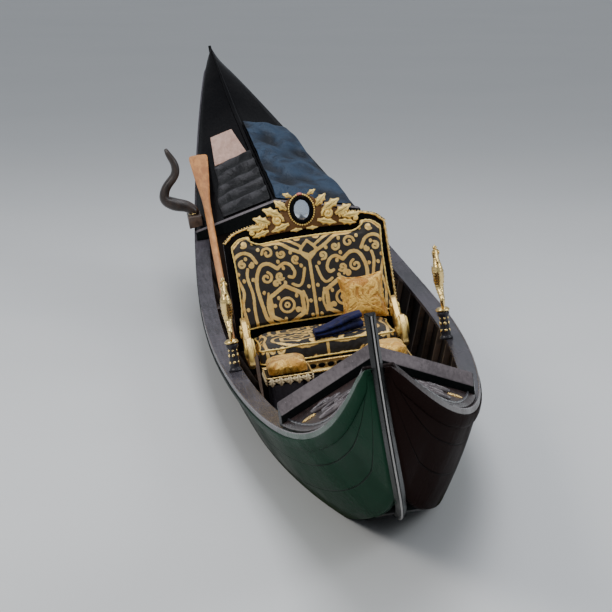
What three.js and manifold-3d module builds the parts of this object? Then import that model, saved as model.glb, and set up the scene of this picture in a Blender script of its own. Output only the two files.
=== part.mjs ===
// Gondola, afloat: a narrow flat-bottomed rowing boat, wider to port than to starboard,
// with a gabled foredeck, a rising stern deck, a sofa, two stools, one oarlock and its oar.
// Millimetres. In the boat's own frame s runs aft from the bow head, y to port and z up
// from the water; the whole boat then heels a little to starboard, as it floats.
import * as THREE from 'three';
import { mergeVertices } from 'three/addons/utils/BufferGeometryUtils.js';
import Module from 'manifold-3d';

const wasm = await Module();
wasm.setup();

// Driving dimensions of the hull
const LENGTH = 10700;
const MIDSHIP = 5350;
const HEEL = THREE.MathUtils.degToRad(8);
const LOWEST = 5300;
const SHEER_MID = 369;
const SHEER_BOW = 1105;
const SHEER_STERN = 1543;
const SHEER_BOW_POWER = 4.45;
const SHEER_STERN_POWER = 2.2;
const DRAFT = 210;
const BOW_HEAD = 1300;
const HALF_BEAM = 660;
const WIDEST = 5450;
const END_HALF = 30;
const SIDE_SHIFT = 155;
const END_SHIFT = -38;
const SHIFT_POWER = { fore: 3.8, aft: 2.2 };
const BOTTOM_HALF = 420;
const BOTTOM_REACH = 4900;
const PLANK = 22;
const BOTTOM_THICK = 30;
const BOTTOM_FROM = 1250;
const BOTTOM_TO = 9450;
const BULGE = 16;
const SEAT_GAP = 0.4;
const STATION_COUNT = 38;
const END_CLEAR = 60;

// Rails, decks and inner frames
const RAIL_WIDTH = 95;
const RAIL_THICK = 26;
const RAIL_LIP = 4;
const RAIL_CHAMFER = { down: 6, across: 10 };
const MOULDING_DEPTH = 55;
const MOULDING_PROUD = 14;
const MOULDING_CHAMFER = 6;
const POST = { gap: 0.6, halfBack: 27, halfFront: 15 };
const STRIP = { thick: 6, halfBack: 13, halfFront: 9 };
const RIDGE = { half: 16, fall: 5.2, gap: 2.5, side: 9, top: 10, chamfer: 0.19 };
const FOREDECK = { from: 130, to: 2150, rise: 200, thick: 18, peakAft: true, board: 80, slope: 58 };
const AFTDECK = {
  from: 7850, to: LENGTH - END_CLEAR, flat: 10560, rise: 120, thick: 18, peakAft: false, board: 42, slope: 0,
  sweep: { from: 9700, rise: 94, power: 1.3 },
};
const COAMING = { depth: 75, proud: 38, crown: 8 };
const BULKHEAD = { thick: 24, below: 2, peak: 0.86 };
const FRAME_HEIGHT = 45;
const FRAME_THICK = 30;
const FRAME_SPACING = 415;
const FLOOR_THICK = 18;
const DOOR = { width: 340, thick: 18, clear: 6, foot: 40, head: 40 };
const HINGE = { radius: 7, offset: 8, inset: 70, knuckle: 60, gap: 0.4 };
const LEAF = { from: 2, to: 26, thick: 3, bed: 1 };

// Furniture
const SOFA_Y = 140;
const SEAT_FRONT = 5050;
const SEAT_BACK = 5590;
const SEAT_TOP = 330;
const SEAT_HALF = 410;
const BASE_HALF = 370;
const BACK_RAKE = THREE.MathUtils.degToRad(7);

const finish = (color, roughness, metalness = 0) =>
  new THREE.MeshStandardMaterial({ color, roughness, metalness });
const LACQUER = finish(0x0b0c0d, 0.15);
const DARK_WOOD = finish(0x2a1c14, 0.45);
const BARE_WOOD = finish(0x7a5a3c, 0.6);
const OAR_WOOD = finish(0xc07a3e, 0.5);
const IRON = finish(0xb9bcc0, 0.35, 0.9);
const BRASS = finish(0xd9a441, 0.3, 0.95);
const GILT = finish(0xcf9a3a, 0.4, 0.6);
const DAMASK = finish(0x17130f, 0.8);
const GOLD_CLOTH = finish(0xc4923c, 0.7);
const BLUE_CLOTH = finish(0x1b2f78, 0.8);
const TARP_CLOTH = finish(0x3c4f63, 0.75);
const DARK_CLOTH = finish(0x1a1a1c, 0.85);
const MIRROR = finish(0xc9d8e2, 0.08, 0.9);

const gondola = new THREE.Group();
gondola.rotation.x = HEEL;

function add(name, geometry, material, parent = gondola) {
  const mesh = new THREE.Mesh(geometry, material);
  mesh.name = name;
  parent.add(mesh);
  return mesh;
}

// Geometry helpers: closed lofts, extrusions and booleans

function signedVolume(points, faces) {
  let sum = 0;
  for (const [a, b, c] of faces) {
    const [p, q, r] = [points[a], points[b], points[c]];
    sum += p[0] * (q[1] * r[2] - q[2] * r[1]);
    sum += p[1] * (q[2] * r[0] - q[0] * r[2]);
    sum += p[2] * (q[0] * r[1] - q[1] * r[0]);
  }
  return sum;
}

function toGeometry(points, faces) {
  const ordered = signedVolume(points, faces) < 0 ? faces.map(([a, b, c]) => [a, c, b]) : faces;
  const geometry = new THREE.BufferGeometry();
  geometry.setAttribute('position', new THREE.Float32BufferAttribute(points.flat(), 3));
  geometry.setIndex(ordered.flat());
  return geometry;
}

function capFaces(ring, first, reversed) {
  const normal = new THREE.Vector3();
  const p = new THREE.Vector3();
  const q = new THREE.Vector3();
  for (let i = 0; i < ring.length; i += 1) {
    p.fromArray(ring[i]);
    q.fromArray(ring[(i + 1) % ring.length]);
    normal.add(p.cross(q));
  }
  const size = normal.toArray().map(Math.abs);
  const drop = size.indexOf(Math.max(...size));
  const [u, v] = [0, 1, 2].filter((axis) => axis !== drop);
  const flat = ring.map((point) => new THREE.Vector2(point[u], point[v]));
  const winding = THREE.ShapeUtils.area(flat) > 0;
  return THREE.ShapeUtils.triangulateShape(flat, []).map((face) => {
    const same = THREE.ShapeUtils.area(face.map((i) => flat[i])) > 0 === winding;
    const [a, b, c] = same ? face : [face[0], face[2], face[1]];
    return (reversed ? [a, c, b] : [a, b, c]).map((i) => first + i);
  });
}

// A closed solid through rings that hold the same number of points
function loft(rings) {
  const count = rings[0].length;
  const faces = [];
  for (let i = 0; i < rings.length - 1; i += 1) {
    for (let j = 0; j < count; j += 1) {
      const a = i * count + j;
      const b = i * count + (j + 1) % count;
      faces.push([a, b, b + count], [a, b + count, a + count]);
    }
  }
  faces.push(...capFaces(rings[0], 0, true));
  faces.push(...capFaces(rings.at(-1), (rings.length - 1) * count, false));
  return toGeometry(rings.flat(), faces);
}

function toManifold(geometry) {
  const bare = geometry.clone();
  bare.deleteAttribute('normal');
  bare.deleteAttribute('uv');
  const merged = mergeVertices(bare, 1e-3);
  const vertProperties = new Float32Array(merged.attributes.position.array);
  const triVerts = new Uint32Array(merged.index.array);
  return new wasm.Manifold(new wasm.Mesh({ numProp: 3, vertProperties, triVerts }));
}

function fromManifold(manifold) {
  const mesh = manifold.getMesh();
  const geometry = new THREE.BufferGeometry();
  geometry.setAttribute('position', new THREE.BufferAttribute(new Float32Array(mesh.vertProperties), 3));
  geometry.setIndex(new THREE.BufferAttribute(new Uint32Array(mesh.triVerts), 1));
  return geometry;
}

const unite = (geometries) => fromManifold(geometries.map(toManifold).reduce((a, b) => a.add(b)));
const cut = (body, tool) => fromManifold(toManifold(body).subtract(toManifold(tool)));

function box(sFrom, sTo, yFrom, yTo, zFrom, zTo) {
  const geometry = new THREE.BoxGeometry(sTo - sFrom, yTo - yFrom, zTo - zFrom);
  return geometry.translate(MIDSHIP - (sFrom + sTo) / 2, (yFrom + yTo) / 2, (zFrom + zTo) / 2);
}

// A flat outline in y and z, given thickness along the boat
function board(outline, sFrom, sTo) {
  const ring = (s) => outline.map(([y, z]) => [MIDSHIP - s, y, z]);
  return loft([ring(sFrom), ring(sTo)]);
}

// A pad: a block whose edges are chamfered all round
function pad(length, width, height, wanted) {
  const edge = Math.min(wanted, length / 5, width / 5, height / 3);
  const outline = (inset) => [
    [length / 2 - inset, width / 2 - edge - inset], [length / 2 - edge - inset, width / 2 - inset],
    [edge + inset - length / 2, width / 2 - inset], [inset - length / 2, width / 2 - edge - inset],
    [inset - length / 2, edge + inset - width / 2], [edge + inset - length / 2, inset - width / 2],
    [length / 2 - edge - inset, inset - width / 2], [length / 2 - inset, edge + inset - width / 2],
  ];
  const ring = (inset, z) => outline(inset).map(([x, y]) => [x, y, z]);
  const half = height / 2;
  return loft([ring(edge, -half), ring(0, edge - half), ring(0, half - edge), ring(edge, half)]);
}

// Hull form, as half-breadths and heights along the boat

function sheerHeight(s) {
  if (s < LOWEST) {
    return SHEER_MID + (SHEER_BOW - SHEER_MID) * ((LOWEST - s) / LOWEST) ** SHEER_BOW_POWER;
  }
  const run = (s - LOWEST) / (LENGTH - LOWEST);
  return SHEER_MID + (SHEER_STERN - SHEER_MID) * run ** SHEER_STERN_POWER;
}

function bottomHeight(s) {
  if (s < LOWEST) {
    return -DRAFT + (BOW_HEAD + DRAFT) * (1 - (s / LOWEST) ** 0.5) ** 1.9;
  }
  const run = (LENGTH - s) / (LENGTH - LOWEST);
  return -DRAFT + (SHEER_STERN + DRAFT) * (1 - run ** 0.8) ** 2.8;
}

function sheerHalf(s) {
  const reach = s < WIDEST ? WIDEST : LENGTH - WIDEST;
  const u = Math.abs(s - WIDEST) / reach;
  return (HALF_BEAM - END_HALF) * (1 - Math.min(u, 1) ** 2.1) ** 0.9 + END_HALF;
}

function bottomHalf(s) {
  const u = Math.min(Math.abs(s - LOWEST) / BOTTOM_REACH, 1);
  return Math.max(BOTTOM_HALF * (1 - u ** 2.4) ** 1.5, END_HALF - 2);
}

// The middle of the hull's breadth bends to port between its ends
function centreLine(s) {
  const power = s < MIDSHIP ? SHIFT_POWER.fore : SHIFT_POWER.aft;
  return END_SHIFT + (SIDE_SHIFT - END_SHIFT) * (1 - Math.abs((s - MIDSHIP) / MIDSHIP) ** power);
}

function frameFor(s) {
  const zBottom = bottomHeight(s);
  const zSheer = sheerHeight(s);
  const halfBottom = bottomHalf(s);
  const halfSheer = sheerHalf(s);
  return {
    s,
    yc: centreLine(s),
    zBottom,
    zSheer,
    zMid: (zBottom + zSheer) / 2,
    halfBottom,
    halfSheer,
    halfMid: (halfBottom + halfSheer) / 2 + BULGE * Math.min(1, halfBottom / 200),
  };
}

const frames = Array.from({ length: STATION_COUNT + 1 }, (_, i) => {
  const t = i / STATION_COUNT;
  const eased = 0.5 * t + 0.25 * (1 - Math.cos(Math.PI * t));
  return frameFor(END_CLEAR + (LENGTH - 2 * END_CLEAR) * eased);
});

// Straight between two stations, so that pieces that touch share one faceting
function hullAt(s) {
  const k = Math.min(Math.max(frames.findIndex((frame) => frame.s >= s), 1), frames.length - 1);
  const [a, b] = [frames[k - 1], frames[k]];
  const t = (s - a.s) / (b.s - a.s);
  return Object.fromEntries(Object.keys(a).map((key) => [key, a[key] + (b[key] - a[key]) * t]));
}

function stationsBetween(from, to) {
  const inner = frames.map((frame) => frame.s).filter((s) => s > from + 1 && s < to - 1);
  return [from, ...inner, to].map(hullAt);
}

function along(from, to, section) {
  return loft(stationsBetween(from, to).map((frame) =>
    section(frame).map(([y, z]) => [MIDSHIP - frame.s, frame.yc + y, z])));
}

// Half-breadth of the planks' outer face at a height
function outerHalf(frame, z) {
  if (z < frame.zMid) {
    const t = (z - frame.zBottom) / (frame.zMid - frame.zBottom);
    return frame.halfBottom + (frame.halfMid - frame.halfBottom) * t;
  }
  const t = (z - frame.zMid) / (frame.zSheer - frame.zMid);
  return frame.halfMid + (frame.halfSheer - frame.halfMid) * t;
}

const innerHalf = (frame, z) => outerHalf(frame, z) - PLANK;
const railWidth = (frame) => Math.min(RAIL_WIDTH, 0.55 * frame.halfSheer);
const mouldingFoot = (frame) => frame.zSheer - Math.min(MOULDING_DEPTH, 0.4 * (frame.zSheer - frame.zBottom));
const railTop = (frame) => frame.zSheer + SEAT_GAP + RAIL_THICK;
const floorBase = (frame) => frame.zBottom + BOTTOM_THICK + FRAME_HEIGHT + 2 * SEAT_GAP;
const floorTop = (frame) => floorBase(frame) + FLOOR_THICK;

const SIDES = [
  { word: 'port', sign: 1 },
  { word: 'starboard', sign: -1 },
];

// Planks and rails come in two lengths that meet amidships
const BUTT_GAP = 0.4;
const CROWN = 0.05;
const [FIRST, LAST] = [frames[0].s, frames.at(-1).s];
const LENGTHS = [
  { part: 'fore', from: FIRST, to: MIDSHIP - BUTT_GAP / 2 },
  { part: 'aft', from: MIDSHIP + BUTT_GAP / 2, to: LAST },
];

function plankSection(f, sign) {
  const inner = (half) => Math.max(half - PLANK, SEAT_GAP);
  return [
    [sign * f.halfBottom, f.zBottom], [sign * f.halfMid, f.zMid],
    [sign * (outerHalf(f, mouldingFoot(f)) + CROWN), mouldingFoot(f)], [sign * f.halfSheer, f.zSheer],
    [sign * inner(f.halfSheer), f.zSheer], [sign * inner(f.halfMid), f.zMid],
    [sign * inner(f.halfBottom), f.zBottom],
  ];
}

function railSection(f, sign) {
  const base = f.zSheer + SEAT_GAP;
  const edge = f.halfSheer + RAIL_LIP;
  const inside = edge - railWidth(f);
  return [
    [sign * edge, base], [sign * edge, railTop(f) - RAIL_CHAMFER.down],
    [sign * (edge - RAIL_CHAMFER.across), railTop(f)],
    [sign * inside, railTop(f)], [sign * inside, base],
  ];
}

function makeSides() {
  for (const { word, sign } of SIDES) {
    for (const { part, from, to } of LENGTHS) {
      add(`side_planks_${word}_${part}`, along(from, to, (f) => plankSection(f, sign)), LACQUER);
      add(`rail_${word}_${part}`, along(from, to, (f) => railSection(f, sign)), LACQUER);
    }
    add(`sheer_moulding_${word}`, along(FIRST, LAST, (f) => {
      const foot = mouldingFoot(f);
      const lean = outerHalf(f, foot);
      return [
        [sign * (f.halfSheer + SEAT_GAP), f.zSheer], [sign * (f.halfSheer + MOULDING_PROUD), f.zSheer],
        [sign * (lean + MOULDING_PROUD), foot + MOULDING_CHAMFER], [sign * (lean + SEAT_GAP), foot],
      ];
    }), LACQUER);
  }
}

function makeBottom() {
  const half = (f) => f.halfBottom - PLANK - SEAT_GAP;
  for (const { part, from, to } of LENGTHS) {
    add(`bottom_planks_${part}`, along(Math.max(from, BOTTOM_FROM), Math.min(to, BOTTOM_TO), (f) => [
      [half(f), f.zBottom], [half(f), f.zBottom + BOTTOM_THICK],
      [-half(f), f.zBottom + BOTTOM_THICK], [-half(f), f.zBottom],
    ]), DARK_WOOD);
  }
}

// Stem and stern posts follow the ends' profile through the same stations as the planks.
// The ring of each one runs from its back, on the planks, to its narrower outer edge.
// head: distance from the tip, and rise above the planks' own profile.
const POSTS = [
  { end: 'stem', tip: 0, head: [[0, 0], [14, 0], [34, 0]], foot: 2350, depthHead: 66, depthFoot: 10 },
  { end: 'stern', tip: LENGTH, head: [[0, 118], [30, 54]], foot: 2350, depthHead: 62, depthFoot: 10 },
];

function postStations({ tip, head, foot }) {
  const fromTip = frames.map((frame) => [Math.abs(frame.s - tip), 0]).filter(([run]) => run <= foot);
  return [...head, ...fromTip.sort((a, b) => a[0] - b[0])].map(([run, rise]) => {
    const s = Math.abs(tip - run);
    const { yc, zBottom } = frameFor(s);
    return { s, yc, z: zBottom + rise };
  });
}

function postRings(post, backOffset, frontOffset, halfBack, halfFront) {
  const stations = postStations(post);
  return stations.map((here, i) => {
    const before = stations[Math.max(i - 1, 0)];
    const after = stations[Math.min(i + 1, stations.length - 1)];
    const length = Math.hypot(after.s - before.s, after.z - before.z);
    const turn = post.tip === 0 ? 1 : -1;
    const normal = { s: turn * (after.z - before.z) / length, z: -turn * (after.s - before.s) / length };
    const depth = post.depthHead + (post.depthFoot - post.depthHead) * (i / (stations.length - 1));
    const place = (distance, y) => [
      MIDSHIP - (here.s + normal.s * distance), here.yc + y, here.z + normal.z * distance,
    ];
    const [back, front] = [backOffset(depth), frontOffset(depth)];
    return [place(back, halfBack), place(front, halfFront), place(front, -halfFront), place(back, -halfBack)];
  });
}

function makePosts() {
  for (const post of POSTS) {
    const wood = postRings(post, () => POST.gap, (depth) => depth, POST.halfBack, POST.halfFront);
    add(`${post.end}_post`, loft(wood), LACQUER);
    const band = postRings(post, (depth) => depth + SEAT_GAP, (depth) => depth + STRIP.thick,
      STRIP.halfBack, STRIP.halfFront);
    add(`${post.end}_strip`, loft(band), IRON);
  }
}

// Decks: two panels that meet at a ridge, under a ridge cap
const EDGE_INSET = 12;

function deckFrame(f, deck) {
  const run = Math.min((f.s - deck.from) / ((deck.flat ?? deck.to) - deck.from), 1);
  const swept = deck.sweep ? Math.max((f.s - deck.sweep.from) / (deck.to - deck.sweep.from), 0) : 0;
  const rise = deck.rise * Math.sin(Math.PI / 2 * (deck.peakAft ? run : 1 - run) ** 0.85)
    + (deck.sweep ? deck.sweep.rise * swept ** deck.sweep.power : 0);
  const zEdge = railTop(f) + SEAT_GAP + deck.thick;
  return { s: f.s, edge: f.halfSheer - EDGE_INSET, zEdge, zPeak: zEdge + rise };
}

// The deck's own frames, and straight between them, so that what lies on it shares its facets
function deckAt(deck, s) {
  const own = stationsBetween(deck.from, deck.to).map((f) => deckFrame(f, deck));
  const k = Math.min(Math.max(own.findIndex((frame) => frame.s >= s), 1), own.length - 1);
  const [a, b] = [own[k - 1], own[k]];
  const t = (s - a.s) / (b.s - a.s);
  return Object.fromEntries(Object.keys(a).map((key) => [key, a[key] + (b[key] - a[key]) * t]));
}

// Height of the deck's top at a distance from the centreline
function deckTop(deck, s, y) {
  const { edge, zEdge, zPeak } = deckAt(deck, s);
  return zPeak + (zEdge - zPeak) * Math.min(Math.abs(y) / edge, 1);
}

const deckEdge = (deck, s) => deckAt(deck, s).edge;

function makeDeck(name, deck) {
  const top = (f, y) => deckTop(deck, f.s, y);
  // Narrower where the deck is steep, so that the cap and the panels stay in step
  const half = (f) => {
    const { edge, zEdge, zPeak } = deckAt(deck, f.s);
    return Math.min(RIDGE.half, 0.5 * edge, RIDGE.fall * edge / (zPeak - zEdge));
  };
  for (const { word, sign } of SIDES) {
    add(`${name}_${word}`, along(deck.from, deck.to, (f) => {
      const edge = deckEdge(deck, f.s);
      return [
        [sign * edge, top(f, edge) - deck.thick], [sign * edge, top(f, edge)],
        [sign * half(f), top(f, half(f))],
        [sign * SEAT_GAP, top(f, 0)], [sign * SEAT_GAP, top(f, 0) - deck.thick],
      ];
    }), LACQUER);
  }
  add(`${name}_ridge`, along(deck.from, deck.to, (f) => {
    const peak = top(f, 0) + RIDGE.gap;
    const foot = top(f, half(f)) + RIDGE.gap;
    const shoulder = half(f) * (1 - RIDGE.chamfer);
    return [
      [half(f), foot], [shoulder, foot + RIDGE.side], [0, peak + RIDGE.top],
      [-shoulder, foot + RIDGE.side], [-half(f), foot], [0, peak],
    ];
  }), LACQUER);
}

function gableOutline(f, edge, zLow, zPeakLow, zTop, zPeakTop) {
  return [
    [f.yc + edge, zLow], [f.yc + edge, zTop], [f.yc, zPeakTop], [f.yc - edge, zTop],
    [f.yc - edge, zLow], [f.yc, zPeakLow],
  ];
}

// A gabled board across a deck's open end. Its top climbs from the deck towards the well.
function makeCoaming(name, sDeck, sWell, deck) {
  const outlineAt = (s, climb) => {
    const f = hullAt(s);
    const base = railTop(f) + SEAT_GAP;
    const top = base + deck.thick + COAMING.proud + climb;
    const outline = gableOutline(f, f.halfSheer - EDGE_INSET, base + SEAT_GAP,
      base + deck.rise - COAMING.depth, top, top + deck.rise + COAMING.crown);
    return outline.map(([y, z]) => [MIDSHIP - s, y, z]);
  };
  add(name, loft([outlineAt(sDeck, 0), outlineAt(sWell, deck.slope)]), LACQUER);
}

// A bulkhead fills the hull's section below the deck; its door opens into the well
function bulkheadPanel(sFrom, sTo, deck, slack) {
  const f = hullAt((sFrom + sTo) / 2);
  const zFoot = f.zBottom + BOTTOM_THICK + slack;
  const under = f.zSheer - slack;
  const rail = f.halfSheer - railWidth(f) - slack;
  const top = railTop(f) - BULKHEAD.below;
  const half = [
    [innerHalf(f, zFoot) - slack, zFoot], [innerHalf(f, f.zMid) - slack, f.zMid],
    [innerHalf(f, under) - slack, under], [rail, under], [rail, top],
  ];
  const peak = top + BULKHEAD.peak * deck.rise;
  return board([
    ...half.map(([y, z]) => [f.yc + y, z]), [f.yc, peak],
    ...half.reverse().map(([y, z]) => [f.yc - y, z]),
  ], sFrom, sTo);
}

// One hinge knuckle with its leaf, on the face of the door or of the jamb beside it
function knuckle(face, outward, yAxis, leafSide, zFrom, zTo) {
  const barrel = new THREE.CylinderGeometry(HINGE.radius, HINGE.radius, zTo - zFrom, 10).rotateX(Math.PI / 2);
  barrel.translate(MIDSHIP - face - outward * HINGE.offset, yAxis, (zFrom + zTo) / 2);
  const [near, far] = [yAxis + leafSide * LEAF.from, yAxis + leafSide * LEAF.to];
  const [back, front] = [face - outward * LEAF.bed, face + outward * LEAF.thick];
  const leaf = box(Math.min(back, front), Math.max(back, front), Math.min(near, far), Math.max(near, far),
    zFrom, zTo);
  return [barrel, leaf];
}

const BULKHEADS = [
  { word: 'fore', from: 2090, face: 2090 + BULKHEAD.thick, outward: 1, deck: FOREDECK, slack: 4 },
  { word: 'aft', from: 7890, face: 7890, outward: -1, deck: AFTDECK, slack: 3 },
];

// Each door hangs on its port side from two hinges: the door's knuckle lies between two on the bulkhead
function makeBulkheads() {
  for (const { word, from, face, outward, deck, slack } of BULKHEADS) {
    const f = hullAt(from + BULKHEAD.thick / 2);
    const [yFrom, yTo] = [f.yc - DOOR.width / 2, f.yc + DOOR.width / 2];
    const [zFrom, zTo] = [floorTop(f) + DOOR.foot, f.zSheer + DOOR.head];
    const { clear, thick } = DOOR;
    const yAxis = yTo - clear / 2;
    const fixed = [];
    const swinging = [];
    for (const z of [zFrom + HINGE.inset, zTo - HINGE.inset]) {
      const [low, high] = [z - HINGE.knuckle / 2, z + HINGE.knuckle / 2];
      const [lowJoin, highJoin] = [z - HINGE.knuckle / 6, z + HINGE.knuckle / 6];
      fixed.push(...knuckle(face, outward, yAxis, 1, low, lowJoin - HINGE.gap));
      fixed.push(...knuckle(face, outward, yAxis, 1, highJoin + HINGE.gap, high));
      swinging.push(...knuckle(face, outward, yAxis, -1, lowJoin, highJoin));
    }
    const panel = bulkheadPanel(from, from + BULKHEAD.thick, deck, slack);
    const hole = box(from - 50, from + BULKHEAD.thick + 50, yFrom, yTo, zFrom, zTo);
    add(`${word}_bulkhead`, unite([cut(panel, hole), ...fixed]), DARK_WOOD);
    const back = face - outward * thick;
    const door = box(Math.min(back, face), Math.max(back, face), yFrom + clear, yTo - clear,
      zFrom + clear, zTo - clear);
    add(`${word}_door`, unite([door, ...swinging]), DARK_WOOD);
  }
}

function makeEnds() {
  makeDeck('foredeck', FOREDECK);
  makeDeck('aftdeck', AFTDECK);
  const foreEdge = FOREDECK.to + SEAT_GAP;
  const aftEdge = AFTDECK.from - SEAT_GAP;
  makeCoaming('foredeck_coaming', foreEdge, foreEdge + FOREDECK.board, FOREDECK);
  makeCoaming('aftdeck_coaming', aftEdge, aftEdge - AFTDECK.board, AFTDECK);
  makeBulkheads();
}

// Floor frames on a keelson, with the floorboards over them in three sections that lift out
const KEELSON = { from: 2200, to: 7800, half: 45, high: 30 };
const FRAMES = { from: 2330, slack: 1.5, sink: 0.2, below: 6, deep: 34, deepFoot: 40 };
const FLOOR_EDGE = 45;
const FLOOR_SECTIONS = [
  { word: 'fore', from: 2210, to: 3898 },
  { word: 'middle', from: 3902, to: 6098 },
  { word: 'aft', from: 6102, to: 7790 },
];

function makeFloor() {
  const base = (f) => f.zBottom + BOTTOM_THICK + SEAT_GAP;
  const { half: keelHalf, high: keelHigh } = KEELSON;
  const pieces = [along(KEELSON.from, KEELSON.to, (f) => [
    [keelHalf, base(f)], [keelHalf, base(f) + keelHigh],
    [-keelHalf, base(f) + keelHigh], [-keelHalf, base(f)],
  ])];
  for (let s = FRAMES.from; s < KEELSON.to; s += FRAME_SPACING) {
    const { slack, deep, deepFoot } = FRAMES;
    const section = (f) => {
      const low = base(f) + FRAMES.sink;
      const high = base(f) + FRAME_HEIGHT;
      const reach = f.zSheer - FRAMES.below;
      const side = (sign) => [
        [sign * (innerHalf(f, low) - slack), low], [sign * (innerHalf(f, f.zMid) - slack), f.zMid],
        [sign * (innerHalf(f, reach) - slack), reach], [sign * (innerHalf(f, reach) - deep), reach],
        [sign * (innerHalf(f, f.zMid) - deep), f.zMid], [sign * (innerHalf(f, high) - deepFoot), high],
      ];
      return [...side(1), ...side(-1).reverse()];
    };
    const ends = [s, s + FRAME_THICK].map((at) => {
      const f = hullAt(at);
      return section(f).map(([y, z]) => [MIDSHIP - at, f.yc + y, z]);
    });
    pieces.push(loft(ends));
  }
  add('floor_frames', unite(pieces), BARE_WOOD);
  for (const { word, from, to } of FLOOR_SECTIONS) {
    add(`floorboards_${word}`, along(from, to, (f) => {
      const half = innerHalf(f, floorBase(f)) - FLOOR_EDGE;
      return [[half, floorBase(f)], [half, floorTop(f)], [-half, floorTop(f)], [-half, floorBase(f)]];
    }), BARE_WOOD);
  }
}

const THWARTS = [
  { name: 'fore_thwart', s: 2800, width: 170, drop: 95, thick: 25 },
  { name: 'aft_thwart', s: 6555, width: 170, drop: 95, thick: 25 },
];
const THWART_END_GAP = 0.5;

function makeThwarts() {
  for (const { name, s, width, drop, thick } of THWARTS) {
    const z = hullAt(s + width / 2).zSheer - drop;
    add(name, along(s, s + width, (f) => {
      const half = innerHalf(f, z) - THWART_END_GAP;
      return [[half, z], [half, z + thick], [-half, z + thick], [-half, z]];
    }), DARK_WOOD);
  }
}

// The sofa. Its back, crest and mirror share an upright frame that leans aft by the rake
const SOFA_BACK = { half: 474, low: 8, side: 640, top: 735, from: -100, to: -60 };
const BACK_PAD = { half: 456, low: 106, side: 622, top: 708, from: -59.5, to: 20 };
const ARCH_STEPS = 14;
const ARCH = { share: 0.94, shoulder: 20 };
const CREST = { low: 632, half: 300, from: -59.5, to: -22, clear: 3 };
const CREST_OVAL = { half: 52, tall: 66, z: 765, from: -21.6, to: -10, points: 20 };
const BASE = { set: 15, behind: 110, below: 104.5 };
const SEAT_PAD = { gap: 10, thick: 104, edge: 22 };
const ARM = { thick: 46, out: 24, behind: 70, below: 104 };

function archedOutline({ half, low, side: zSide, top: zTop }) {
  const points = [[-half, low], [half, low], [half, zSide]];
  for (let i = 1; i < ARCH_STEPS; i += 1) {
    const a = Math.PI * i / ARCH_STEPS;
    const rise = (zTop - zSide - ARCH.shoulder) * Math.sin(a);
    points.push([half * ARCH.share * Math.cos(a), zSide + ARCH.shoulder + rise]);
  }
  points.push([-half, zSide]);
  return points;
}

function makeSofa() {
  const baseBack = SEAT_BACK + BASE.behind;
  const floor = Math.max(floorTop(hullAt(SEAT_FRONT)), floorTop(hullAt(baseBack))) + SEAT_GAP;
  add('sofa_base', box(SEAT_FRONT + BASE.set, baseBack, SOFA_Y - BASE_HALF, SOFA_Y + BASE_HALF,
    floor, SEAT_TOP - BASE.below), LACQUER);
  add('seat_cushion', pad(SEAT_BACK - SEAT_FRONT - SEAT_PAD.gap, 2 * SEAT_HALF, SEAT_PAD.thick, SEAT_PAD.edge)
    .translate(MIDSHIP - (SEAT_FRONT + SEAT_BACK) / 2, SOFA_Y, SEAT_TOP - SEAT_PAD.thick / 2), DAMASK);
  const back = new THREE.Group();
  back.position.set(MIDSHIP - SEAT_BACK - 4, SOFA_Y, SEAT_TOP - 100);
  back.rotation.y = -BACK_RAKE;
  gondola.add(back);
  const slab = (outline, xFrom, xTo) => loft([xFrom, xTo].map((x) => outline.map(([y, z]) => [x, y, z])));
  add('sofa_back', slab(archedOutline(SOFA_BACK), SOFA_BACK.from, SOFA_BACK.to), LACQUER, back);
  const notch = slab(crestOutline(CREST.clear), BACK_PAD.from - 10, BACK_PAD.to + 20);
  add('back_cushion', cut(slab(archedOutline(BACK_PAD), BACK_PAD.from, BACK_PAD.to), notch), DAMASK, back);
  add('sofa_crest', slab(crestOutline(0), CREST.from, CREST.to), GILT, back);
  const oval = Array.from({ length: CREST_OVAL.points }, (_, i) => {
    const a = 2 * Math.PI * i / CREST_OVAL.points;
    return [CREST_OVAL.half * Math.cos(a), CREST_OVAL.z + CREST_OVAL.tall * Math.sin(a)];
  });
  add('crest_mirror', slab(oval, CREST_OVAL.from, CREST_OVAL.to), MIRROR, back);
  for (const { word, sign } of SIDES) {
    makeArm(word, sign);
  }
}

// A shape drawn in length and height, given thickness across the boat
function uprightPlate(shape, depth) {
  return new THREE.ExtrudeGeometry(shape, { depth, bevelEnabled: false, curveSegments: 4 })
    .rotateX(Math.PI / 2);
}

// Outline of the carved crest on top of the sofa's back, grown all round by a margin
function crestOutline(margin) {
  const shape = new THREE.Shape();
  const low = CREST.low - margin;
  const half = CREST.half + margin;
  shape.moveTo(-half, low);
  shape.quadraticCurveTo(0, low + 30, half, low);
  shape.quadraticCurveTo(half + 25, 700 + margin, half - 60, 716 + margin);
  shape.quadraticCurveTo(200, 770 + margin, 130, 760 + margin);
  shape.quadraticCurveTo(90, 850 + margin, 0, 868 + margin);
  shape.quadraticCurveTo(-90, 850 + margin, -130, 760 + margin);
  shape.quadraticCurveTo(-200, 770 + margin, 60 - half, 716 + margin);
  shape.quadraticCurveTo(-half - 25, 700 + margin, -half, low);
  return shape.getPoints(4).slice(0, -1).map((p) => [p.x, p.y]);
}

function makeArm(word, sign) {
  const shape = new THREE.Shape();
  shape.moveTo(0, 0);
  shape.lineTo(430, 0);
  shape.quadraticCurveTo(480, 60, 450, 130);
  shape.quadraticCurveTo(410, 190, 350, 150);
  shape.quadraticCurveTo(250, 90, 130, 170);
  shape.quadraticCurveTo(60, 220, 0, 220);
  const geometry = uprightPlate(shape, ARM.thick);
  const y = SOFA_Y + sign * (SEAT_HALF + ARM.out) + ARM.thick / 2;
  geometry.translate(MIDSHIP - SEAT_BACK + ARM.behind, y, SEAT_TOP - ARM.below);
  add(`sofa_arm_${word}`, geometry, GILT);
}

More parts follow.
